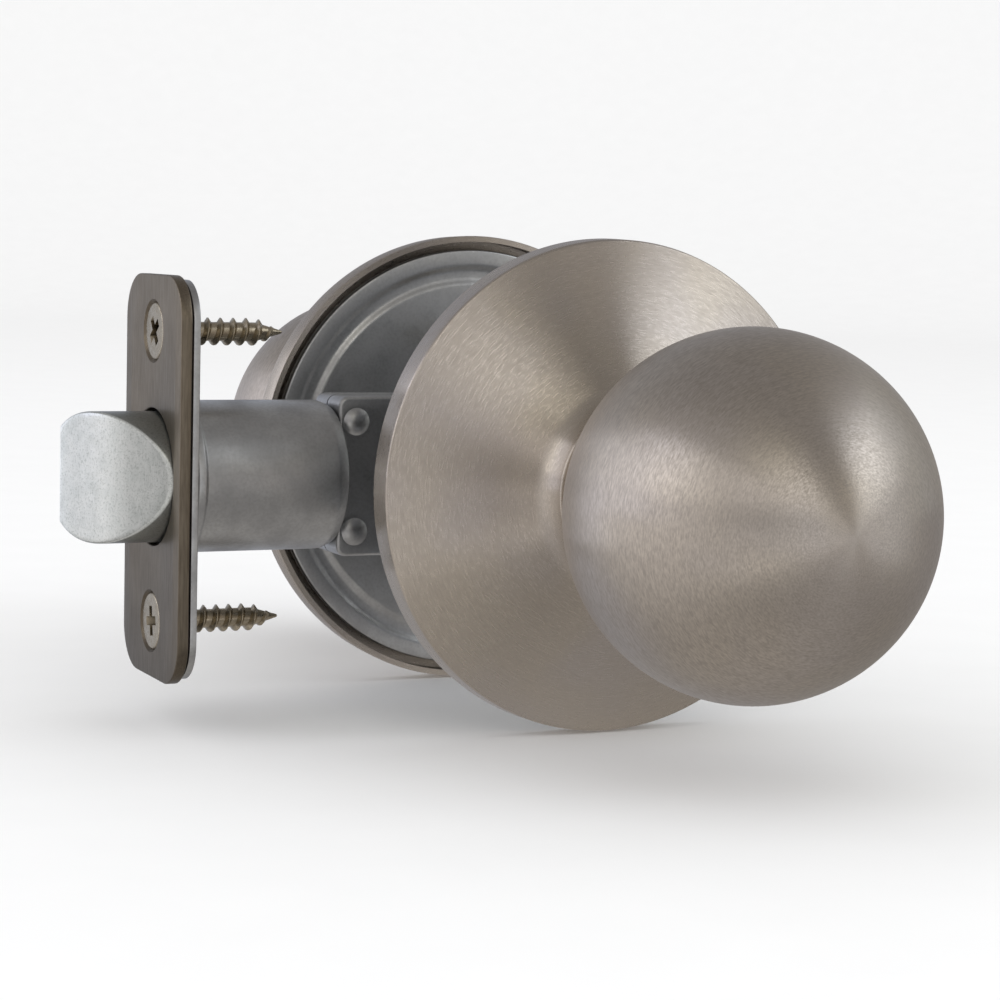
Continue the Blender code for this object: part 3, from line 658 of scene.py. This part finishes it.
# --- bolt ---------------------------------------
def bolt():
    """Round bolt with a flat back and an arched bevel, lofted through D-shaped sections."""
    flat, bevel_radius, edge, rear_edge = 6.28, 31.6, 0.45, 0.3
    steps, face_rings, edge_rings, face_scale = 160, 14, 5, 0.93
    flat_margin, step, rod_hole_radius, rod_hole_depth = 0.25, 0.05, 1.7, 7.4
    nose = Vector((-BOLT_NOSE, flat))
    foot = Vector((-LATCH_FRONT, -BOLT_RADIUS))
    middle, chord = (nose + foot) / 2, nose - foot
    inward = Vector((chord.y, -chord.x)).normalized()
    centre = middle + inward * math.sqrt(bevel_radius ** 2 - (chord.length / 2) ** 2)
    bm = bmesh.new()

    def bevel_x(y):
        """Where the bevel's arch lies at y."""
        return centre.x - math.sqrt(bevel_radius ** 2 - (y - centre.y) ** 2)

    def section(scale, depth=0.0, x=None, limit=flat):
        """One ring round the bolt: on the bevel and depth behind it, or upright at x."""
        ring = []
        for i in range(steps):
            angle = 2 * math.pi * i / steps
            y = min(BOLT_RADIUS * math.cos(angle), limit) * scale
            z = BOLT_RADIUS * math.sin(angle) * scale
            ring.append(bm.verts.new(Vector((bevel_x(y) + depth if x is None else x, y, z)) * MM))
        return ring

    rings = [section(i / face_rings * face_scale) for i in range(1, face_rings + 1)]
    for i in range(1, edge_rings + 1):
        angle = math.radians(90 * i / edge_rings)
        rings.append(section(1 - (edge / BOLT_RADIUS) * (1 - math.sin(angle)),
                             edge * (1 - math.cos(angle))))
    flat_end = max(-LATCH_FRONT - flat_margin, max(vertex.co.x for vertex in rings[-1]) / MM)
    rings += [section(1.0, x=flat_end), section(1.0, x=flat_end + step, limit=BOLT_RADIUS),
              section(1.0, x=-BOLT_BACK - rear_edge, limit=BOLT_RADIUS),
              section(1 - rear_edge / BOLT_RADIUS, x=-BOLT_BACK, limit=BOLT_RADIUS)]
    bridge(bm, rings)
    rod_hole = cone(rod_hole_radius, rod_hole_radius, (-BOLT_BACK + 1, 0, 0),
                    (-BOLT_BACK - rod_hole_depth, 0, 0))
    show(cut(formed("latch_bolt_casting", bm), [formed("bore", rod_hole)]), "latch_bolt",
         smooth_angle=28.0)


bolt()


# --- latch front --------------------------------
HEAD_SLOPE = 0.875  # how fast a flat head and its countersink narrow with depth


def stamped_plate(name, node, corner, edge, holes):
    """A plate across the latch: a filled 2D curve with rounded edges, standing in the YZ plane."""
    front, back = span(node, 0)
    width, length = (span(node, axis)[1] * 2 for axis in (1, 2))
    curve = bpy.data.curves.new(name, "CURVE")
    curve.dimensions = "2D"
    curve.fill_mode = "BOTH"
    curve.extrude = ((back - front) / 2 - edge) * MM
    curve.bevel_depth = edge * MM
    curve.bevel_resolution = 3
    borders = [arc((centre, 0), radius + edge, 360, 0, 72)[:-1] for centre, radius in holes]
    for border in [rounded_rectangle(length - 2 * edge, width - 2 * edge, corner - edge, 14)] + borders:
        spline = curve.splines.new("POLY")
        spline.points.add(len(border) - 1)
        for point, (along, across) in zip(spline.points, border):
            point.co = (along * MM, across * MM, 0.0, 1.0)
        spline.use_cyclic_u = True
    piece = link(name, curve)
    stand = Matrix(((0, 0, -1, 0), (0, 1, 0, 0), (1, 0, 0, 0), (0, 0, 0, 1)))
    piece.matrix_world = Matrix.Translation(Vector(((front + back) / 2, 0, 0)) * MM) @ stand
    return frozen(piece)


def faceplate():
    """Faceplate with a hole for the bolt and two countersunk holes."""
    piece = stamped_plate("faceplate", "latch_faceplate", corner=6.35, edge=0.22,
                          holes=[(0.0, BOLT_HOLE_RADIUS)])
    mouth, depth, above = 4.5, 4.0, 0.2
    tools = [formed("countersink", cone(mouth + HEAD_SLOPE * above, mouth - HEAD_SLOPE * depth,
                                        (-LATCH_FRONT - above, 0, height),
                                        (-LATCH_FRONT + depth, 0, height), 72))
             for height in (WOOD_SCREW_HEIGHT, -WOOD_SCREW_HEIGHT)]
    show(cut(piece, tools), "latch_faceplate")


def back_plate():
    """Thin plate behind the faceplate, with a hole for the bolt and two for the screws."""
    screw_hole = 3.2
    holes = [(0.0, BOLT_HOLE_RADIUS), (WOOD_SCREW_HEIGHT, screw_hole), (-WOOD_SCREW_HEIGHT, screw_hole)]
    show(stamped_plate("back_plate", "latch_back_plate", corner=5.75, edge=0.12, holes=holes),
         "latch_back_plate")


def wood_screw(label, height, spin):
    """Flat head screw: cross recess, core, and a coarse thread that runs down to the point."""
    node = f"faceplate_screw_{label}"
    top, tip = (-edge for edge in span(node, 0))
    head, neck, core, crest, pitch, taper = 4.1, 2.0, 1.35, 1.98, 1.9, 4.0
    under = top - 0.2 - (head - neck) / HEAD_SLOPE
    outline = [(0, top), (head - 0.25, top - 0.02), (head, top - 0.3), (head, top - 0.45), (neck, under),
               (neck - 0.25, under - 0.6), (core, under - 1.6), (core, tip + taper), (0.2, tip), (0, tip)]
    piece = turned(f"wood_screw_{label}", eased(outline, 0.12), TO_EDGE, steps=64, location=(0, 0, height))
    piece = cut(piece, cross_tools((-top, 0, height), (-1, 0, 0), size=4.6, depth=2.1, turned_by=spin))
    ridge = formed("ridge", thread(core, crest, pitch, under - 1.4, tip + 0.5, taper),
                   Matrix.Translation((0, 0, height * MM)) @ TO_EDGE)
    show(with_ridge(piece, ridge), node)


faceplate()
back_plate()
for label, height, spin in (("upper", WOOD_SCREW_HEIGHT, 36.0), ("lower", -WOOD_SCREW_HEIGHT, 8.0)):
    wood_screw(label, height, spin)


# --- mounting hardware --------------------------
PLATE_BACK, PLATE_FRONT = span("interior_mounting_plate", 1)[0], DOOR_FACE + 2.0
SCREW_RADIUS = 2.0
SCREW_SEAT = PLATE_FRONT + 3.8
POST_RADIUS = 3.4
POST_STUB = 2.5
FIXINGS = (("upper", FIXING_HEIGHT), ("lower", -FIXING_HEIGHT))


def mounting_plate(side):
    """Stamped disc with a rolled edge and pressed rings, and bosses for the screws' heads inside."""
    bore, edge = 9.35, span("interior_mounting_plate", 2)[1]
    hollow, groove, step = 0.35, 0.45, 0.4
    front = [(bore, PLATE_FRONT), (13.0, PLATE_FRONT), (14.0, PLATE_FRONT - hollow),
             (26.6, PLATE_FRONT - hollow), (27.6, PLATE_FRONT), (edge, PLATE_FRONT)]
    back = [(edge, PLATE_BACK), (30.6, PLATE_BACK), (29.8, PLATE_BACK + groove),
            (28.4, PLATE_BACK + groove), (27.6, PLATE_BACK), (15.4, PLATE_BACK),
            (14.6, PLATE_BACK + step), (bore, PLATE_BACK + step)]
    piece = turned(f"{side}_stamped_plate", eased(front + back, 0.35, closed=True), OUTWARD[side],
                   steps=160, closed=True)
    if side == "exterior":
        hole, hole_start, hole_end = POST_STUB + GAP, -PLATE_FRONT - 1, -PLATE_BACK + 1
    else:
        hole, hole_start, hole_end = SCREW_RADIUS + GAP, PLATE_BACK - 1, SCREW_SEAT + 1
        boss_radius, boss_top, boss_foot = 3.8, SCREW_SEAT - 0.3, PLATE_FRONT - 0.8
        boss = [(0, boss_top), (boss_radius, boss_top), (boss_radius, boss_foot), (0, boss_foot)]
        piece = join(piece, [turned(f"boss_{label}", eased(boss, 0.35), OUTWARD[side], steps=64,
                                    location=(0, 0, height)) for label, height in FIXINGS])
    piece = cut(piece, [formed("fixing_hole", cone(hole, hole, (0, hole_start, height),
                                                   (0, hole_end, height))) for _, height in FIXINGS])
    show(piece, f"{side}_mounting_plate")


def bushing(side):
    """Flanged nylon bearing, with every edge broken as moulded."""
    bore, sleeve, flange = JOURNAL_RADIUS + GAP, 9.0, 11.5
    top, under, end = PLATE_FRONT + 1.0, PLATE_FRONT + 0.3, PLATE_BACK - 0.2
    outline = [(bore, top), (flange, top), (flange, under), (sleeve, under), (sleeve, end), (bore, end)]
    show(turned(f"{side}_bearing", eased(outline, 0.25, closed=True), OUTWARD[side], steps=96,
                closed=True), f"{side}_bushing")


def retaining_ring(side):
    """Open snap ring in the shank's groove."""
    bore, edge = GROOVE_RADIUS + GAP, 10.0
    front, back = GROOVE_FRONT - GAP, GROOVE_BACK + GAP
    mouth_half, mouth_top = 4.5, -3.0
    outline = [(bore, front), (edge, front), (edge, back), (bore, back)]
    piece = turned(f"{side}_snap_ring", eased(outline, 0.12, closed=True), OUTWARD[side], steps=96,
                   closed=True)
    mouth = block((-mouth_half, -edge - 2, back - 1), (mouth_half, mouth_top, front + 1))
    show(cut(piece, [formed("mouth", mouth, OUTWARD[side])]), f"{side}_retaining_ring")


def spindle():
    """Square bar with broken edges and chamfered ends."""
    half, end = span("spindle", 0)[1], span("spindle", 1)[1]
    corner, chamfer = 0.4, 0.5
    narrowed = 1 - chamfer / half
    border = rounded_rectangle(2 * half, 2 * half, corner, 4)
    bm = bmesh.new()
    bridge(bm, [[bm.verts.new((x * scale * MM, y * MM, z * scale * MM)) for x, z in border]
                for y, scale in ((-end, narrowed), (chamfer - end, 1), (end - chamfer, 1),
                                 (end, narrowed))])
    show(formed("square_spindle", bm), "spindle", smooth_angle=20.0)


def threaded_post(label, height):
    """Post riveted in the exterior plate, countersunk at its mouth for the machine screw."""
    foot, shoulder = PLATE_FRONT + 0.3, PLATE_BACK - 0.3
    rivet_top, mouth, bore_end = foot + 0.9, 4.0, 20.0
    bore = SCREW_RADIUS + GAP
    outline = [(0, rivet_top), (POST_RADIUS - 0.4, rivet_top), (POST_RADIUS + 0.2, foot),
               (POST_STUB, foot), (POST_STUB, shoulder), (POST_RADIUS, shoulder), (POST_RADIUS, mouth),
               (bore + 0.4, mouth), (bore, mouth + 0.5), (bore, bore_end), (0, bore_end)]
    show(turned(f"riveted_post_{label}", eased(outline, 0.25), OUTWARD["exterior"], steps=64,
                location=(0, 0, height)), f"threaded_post_{label}")


def machine_screw(label, height):
    """Pan head screw with a cross recess and a fine thread."""
    end, crown = span("mounting_screw_upper", 1)
    head, core, tip, pitch = 3.9, 1.62, 1.1, 0.8
    outline = [(0, crown)]
    outline += sweep((2.2, crown - 0.1), (head, crown - 0.3), (head, SCREW_SEAT + 1.0), 8)
    outline += [(head, SCREW_SEAT), (SCREW_RADIUS, SCREW_SEAT), (SCREW_RADIUS, SCREW_SEAT - 2.0),
                (core, SCREW_SEAT - 2.6), (core, end + 0.6), (tip, end), (0, end)]
    piece = turned(f"pan_head_screw_{label}", eased(outline, 0.2), OUTWARD["interior"], steps=64,
                   location=(0, 0, height))
    piece = cut(piece, cross_tools((0, crown, height), (0, 1, 0), size=4.4, depth=1.7, turned_by=45.0))
    ridge = formed("ridge", thread(core, SCREW_RADIUS - 0.02, pitch, SCREW_SEAT - 2.4, end + 0.5),
                   Matrix.Translation((0, 0, height * MM)) @ OUTWARD["interior"])
    show(with_ridge(piece, ridge), f"mounting_screw_{label}")


for side in OUTWARD:
    mounting_plate(side)
    bushing(side)
    retaining_ring(side)
spindle()
for label, height in FIXINGS:
    threaded_post(label, height)
    machine_screw(label, height)


# --- latch case ---------------------------------
BARREL_FRONT, BARREL_END = (-edge for edge in span("latch_barrel", 0))
BARREL_RADIUS = span("latch_barrel", 2)[1]
CASE_FRONT, CASE_REAR = -span("latch_case_interior_half", 0)[0], span("latch_case_interior_half", 0)[1]
CASE_HALF_WIDTH = span("latch_case_interior_half", 1)[1]
CASE_HALF_HEIGHT = span("latch_case_interior_half", 2)[1]
SHEET = 0.9
ROD_RADIUS = 1.35
ROD_WAY = ROD_RADIUS + 0.45
HUB_JOURNAL = 6.0
RIVETS = {"front_upper": (-30.9, 8.0), "front_lower": (-30.9, -8.0), "rear": (11.6, 0.0)}


def barrel():
    """Drawn tube with a rolled front lip, a closed seam along the top and an end wall."""
    body, lip_length, slope, shoulder, shoulder_drop = BARREL_RADIUS - 0.25, 1.2, 0.3, 1.6, 0.9
    seam_half, seam_margin, seam_depth = 0.12, 1.8, 0.6
    outline = [(BOLT_HOLE_RADIUS, BARREL_FRONT), (BARREL_RADIUS, BARREL_FRONT),
               (BARREL_RADIUS, BARREL_FRONT - lip_length), (body, BARREL_FRONT - lip_length - slope),
               (body, BARREL_END + shoulder), (BARREL_RADIUS - shoulder_drop, BARREL_END),
               (ROD_WAY, BARREL_END), (ROD_WAY, BARREL_END + SHEET),
               (BOLT_HOLE_RADIUS, BARREL_END + SHEET)]
    piece = turned("drawn_barrel", eased(outline, 0.3, closed=True), TO_EDGE, steps=128, closed=True)
    seam = block((-BARREL_FRONT + seam_margin, -seam_half, BARREL_RADIUS - seam_depth),
                 (-BARREL_END - seam_margin, seam_half, BARREL_RADIUS + 1))
    show(cut(piece, [formed("seam", seam)]), "latch_barrel")


def case_half(side, sign):
    """Stamped tray with rounded bends, holes for the hub and rivets, and a way for the tail rod."""
    seam, corner, bend, rivet_hole = 0.15, 1.4, 0.5, 1.5
    inner, outer = sorted((sign * seam, sign * CASE_HALF_WIDTH))
    bm = block((-CASE_FRONT, inner, -CASE_HALF_HEIGHT), (CASE_REAR, outer, CASE_HALF_HEIGHT))
    corners = [edge for edge in bm.edges if abs(edge.verts[0].co.y - edge.verts[1].co.y) > MM]
    bmesh.ops.bevel(bm, geom=corners, offset=corner * MM, segments=6, profile=0.5, affect="EDGES")
    bends = [edge for edge in bm.edges
             if all(abs(abs(vertex.co.y) - CASE_HALF_WIDTH * MM) < 1e-6 for vertex in edge.verts)]
    bmesh.ops.bevel(bm, geom=bends, offset=bend * MM, segments=4, profile=0.5, affect="EDGES")
    near, far = sorted((sign * -1.0, sign * (CASE_HALF_WIDTH - SHEET)))
    hole_start, hole_end = sign * 2, sign * 7
    hub_hole = HUB_JOURNAL + GAP
    tools = [formed("hollow", block((-CASE_FRONT + SHEET, near, -CASE_HALF_HEIGHT + SHEET),
                                    (CASE_REAR - SHEET, far, CASE_HALF_HEIGHT - SHEET))),
             formed("rod_way", cone(ROD_WAY, ROD_WAY, (-CASE_FRONT - 1, 0, 0), (-CASE_FRONT + 2, 0, 0))),
             formed("hub_bearing", cone(hub_hole, hub_hole, (0, hole_start, 0), (0, hole_end, 0), 96))]
    tools += [formed("rivet_hole", cone(rivet_hole, rivet_hole, (x, hole_start, z), (x, hole_end, z), 32))
              for x, z in RIVETS.values()]
    show(cut(formed(f"case_tray_{side}", bm), tools), f"latch_case_{side}_half")


def rivet(label, x, z):
    """Rivet with a domed head on both sides, pressed a little flat."""
    face, top = CASE_HALF_WIDTH + 0.3, span(f"case_rivet_{label}", 1)[1]
    dome_radius, dome_depth, head, stem = 3.2, 2.5, 2.2, 1.2
    head_angle = math.degrees(math.acos((head - 0.1) / dome_radius))
    dome = arc((0, face - dome_depth), dome_radius, 90, head_angle, 6)
    half = [(0.0, top)] + [(radius, min(height, top)) for radius, height in dome[1:]]
    half += [(head, face), (stem, face)]
    outline = half + [(radius, -height) for radius, height in reversed(half)]
    show(turned(f"domed_rivet_{label}", outline, OUTWARD["exterior"], steps=48, location=(x, 0, z)),
         f"case_rivet_{label}")


def hub():
    """Cam with two journals, a square hole and two arms that lean towards the bolt."""
    core, core_half, journal_half = 6.4, 3.4, 5.3
    tip, reach, arm_half, web_half = 1.3, 9.2, 1.1, 0.9
    knob_turn, past_journal = math.radians(75.0), 7.0
    lean = knob_turn / 2
    outline = [(0, journal_half), (HUB_JOURNAL, journal_half), (HUB_JOURNAL, core_half), (core, core_half)]
    outline += [(radius, -height) for radius, height in reversed(outline)]
    piece = turned("cam_hub", eased(outline, 0.3), OUTWARD["exterior"], steps=96)
    tools = []
    for up, turn in ((1, -lean), (-1, math.pi + lean)):
        x, z = -reach * math.sin(lean), up * reach * math.cos(lean)
        arm = block((-web_half, -arm_half, 0), (web_half, arm_half, reach))
        tools.append(formed("arm", arm, Matrix.Rotation(turn, 4, "Y")))
        tools.append(formed("tip", cone(tip, tip, (x, -arm_half, z), (x, arm_half, z), 32)))
    hole = SOCKET_HALF_WIDTH
    square = formed("square", block((-hole, -past_journal, -hole), (hole, past_journal, hole)))
    show(cut(join(piece, tools), [square]), "latch_hub")


def tail_rod():
    """Headed rod from the bolt to the slide."""
    front, end = (-edge for edge in span("tail_rod", 0))
    head, head_length = 1.9, 1.4
    outline = [(0, front), (ROD_RADIUS, front), (ROD_RADIUS, end + head_length),
               (head, end + head_length), (head, end), (0, end)]
    show(turned("headed_rod", eased(outline, 0.3), TO_EDGE, steps=48), "tail_rod")


def coil(node, radius, wire, turns):
    """A compression spring along X with closed end turns, built at one length."""
    low, high = span(node, 0)
    middle = [sum(span(node, axis)) / 2 for axis in range(3)]
    per_turn = 40
    start, end, closed_pitch = low + wire, high - wire, 2.2 * wire
    open_pitch = (end - start - 2 * closed_pitch) / (turns - 2.0)
    curve = bpy.data.curves.new(node, "CURVE")
    curve.dimensions = "3D"
    curve.bevel_depth = wire * MM
    curve.bevel_resolution = 4
    curve.use_fill_caps = True
    spline = curve.splines.new("POLY")
    spline.points.add(round(turns * per_turn))
    for i, point in enumerate(spline.points):
        turn = i / per_turn
        if turn < 1.0:
            x = start + closed_pitch * turn
        elif turn > turns - 1.0:
            x = end - closed_pitch * (turns - turn)
        else:
            x = start + closed_pitch + open_pitch * (turn - 1.0)
        angle = 2 * math.pi * turn
        point.co = (x * MM, (middle[1] + radius * math.cos(angle)) * MM,
                    (middle[2] + radius * math.sin(angle)) * MM, 1.0)
    piece = frozen(link(f"{node}_wire", curve))
    show(piece, node, smooth_angle=60.0)
    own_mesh(piece)


barrel()
case_half("exterior", -1)
case_half("interior", 1)
for label, (x, z) in RIVETS.items():
    rivet(label, x, z)
hub()
tail_rod()
coil("bolt_spring", radius=6.0, wire=0.4, turns=4.5)
for label in ("upper", "lower"):
    coil(f"retractor_spring_{label}", radius=1.2, wire=0.3, turns=6.0)

# the retractor slide keeps its CAD mesh, so the CAD meshes get their finishes too
for node, piece in frame["nodes"].items():
    piece.data.materials.clear()
    piece.data.materials.append(FINISHES[SLOTS[node]])


# --- floor, light, camera -----------------------
FLOOR_GAP = 0.0002
FLOOR_HEIGHT = cad_bounds[0].z - FLOOR_GAP
ROOM = 2.6
RIG_CENTRE = Vector((0, -0.03, 0))
RIG_DISTANCE = 1.2
# name: (azimuth, elevation) in degrees, (width, height) in metres, watts, colour
RIG = {"key": ((52, 27), (0.62, 0.62), 1.81, (0.92, 0.96, 1.0)),
       "front_tall": ((0, 6), (0.36, 0.92), 0.57, (0.92, 0.95, 1.0)),
       "left_tall": ((-105, 20), (0.36, 0.92), 0.72, (0.62, 0.69, 1.0)),
       "right_low": ((52, -1), (0.62, 0.62), 0.76, (0.84, 0.89, 1.0)),
       "front_low": ((-15, -25), (0.92, 0.36), 0.21, (1.0, 0.96, 0.85)),
       "front_high": ((-7, 27), (0.62, 0.62), 0.55, (1.0, 0.94, 0.78)),
       "left_behind": ((-135, 6), (0.36, 0.92), 1.02, (0.86, 0.89, 1.0)),
       "left_high": ((-82, 27), (0.62, 0.62), 0.78, (1.0, 0.98, 0.92)),
       "right_front_low": ((15, -8), (0.92, 0.36), 0.26, (0.99, 0.97, 1.0)),
       "left_front_low": ((-30, -16), (0.36, 0.62), 0.25, (1.0, 0.96, 0.95)),
       "right_front": ((30, 6), (0.36, 0.92), 0.19, (1.0, 0.90, 0.71)),
       "right_side": ((90, 20), (0.36, 0.92), 0.38, (0.92, 1.0, 0.96)),
       "left_front": ((-30, 20), (0.36, 0.36), 0.20, (0.96, 0.92, 0.96)),
       "front_upper": ((0, 20), (0.36, 0.36), 0.11, (1.0, 0.95, 0.90))}
# (azimuth, elevation) in degrees and colour of the wide, soft glows round the object
GLOWS = (((-90, 0), (0.569, 0.554, 0.564)), ((0, -90), (0.177, 0.165, 0.152)),
         ((180, 0), (0.209, 0.252, 0.341)))
GLOW_SHARPNESS = 3.0


def seen_from(azimuth, elevation):
    """Unit vector from the object towards a viewer at these angles, in degrees."""
    azimuth, elevation = math.radians(azimuth), math.radians(elevation)
    return Vector((math.sin(azimuth) * math.cos(elevation), -math.cos(azimuth) * math.cos(elevation),
                   math.sin(elevation)))


def studio_room():
    """A pale floor that curves up into a round wall; it isn't mirrored in the metal."""
    bend, wall_top = 0.9, 3.5
    light, dark = (0.91, 0.91, 0.91), (0.88, 0.88, 0.88)
    outline = [(0.0, 0.0)] + arc((ROOM - bend, bend), bend, -90, 0, 15) + [(ROOM, wall_top)]
    piece = turned("studio_floor", [(radius / MM, height / MM) for radius, height in outline],
                   Matrix.Translation((0, 0, FLOOR_HEIGHT)), steps=96)
    piece.data.flip_normals()
    piece.data.shade_smooth()
    graph = Graph(bpy.data.materials.new("studio_paper"))
    grain = graph.noise(graph.coordinates(), scale=60.0, detail=3.0)
    graph.surface(graph.mix(grain, dark, light), 0.9, metallic=0.0)
    piece.data.materials.append(graph.owner)
    piece.visible_glossy = piece.visible_diffuse = piece.visible_shadow = False


def softbox(name, angles, size, watts, color):
    """A soft area light on the rig, turned towards the knob set."""
    back = seen_from(*angles)
    light = bpy.data.lights.new(name, "AREA")
    light.shape = "RECTANGLE"
    light.size, light.size_y = size
    light.energy = watts
    light.color = color
    lamp = link(name, light)
    lamp.location = RIG_CENTRE + back * RIG_DISTANCE
    lamp.rotation_euler = back.to_track_quat("Z", "Y").to_euler()


def world(mirrored, elsewhere):
    """Studio light: dim with a few glows where the metal mirrors it, white on the floor and walls."""
    graph = Graph(bpy.data.worlds.new("studio"))
    direction = graph.coordinates("Generated")
    color = mirrored
    for angles, tint in GLOWS:
        facing = graph.add("ShaderNodeVectorMath", operation="DOT_PRODUCT")
        graph.put(direction, facing.inputs[0])
        graph.put(seen_from(*angles), facing.inputs[1])
        glow = graph.math("POWER", graph.math("MAXIMUM", facing.outputs["Value"], 0.0), GLOW_SHARPNESS)
        color = graph.mix(glow, color, tint, blend="ADD")
    is_mirrored = graph.add("ShaderNodeLightPath").outputs["Is Glossy Ray"]
    graph.put(graph.mix(is_mirrored, elsewhere, color), graph.tree.nodes["Background"].inputs["Color"])
    graph.owner.cycles.sampling_method = "NONE"
    bpy.context.scene.world = graph.owner


def camera():
    """A long lens to the left of the spindle and a little above it."""
    angles, roll, position = (-25.48, 5.78), math.radians(1.50), (-168.0, -341.6, 33.9)
    back = seen_from(*angles)
    right = Vector((0, 0, 1)).cross(back).normalized()
    up = back.cross(right)
    tilted_right = right * math.cos(roll) + up * math.sin(roll)
    tilted_up = up * math.cos(roll) - right * math.sin(roll)
    data = bpy.data.cameras.new("camera")
    data.lens = 90.7
    data.sensor_width = 36.0
    data.clip_start, data.clip_end = 0.01, 50.0
    lens = link("camera", data)
    turn = Matrix((tilted_right, tilted_up, back)).transposed().to_4x4()
    lens.matrix_world = Matrix.Translation(Vector(position) * MM) @ turn
    bpy.context.scene.camera = lens


studio_room()
world(mirrored=(0.278, 0.265, 0.257), elsewhere=(1.03, 1.03, 1.03))
for name, setting in RIG.items():
    softbox(name, *setting)
camera()
bpy.context.scene.view_settings.view_transform = "Standard"
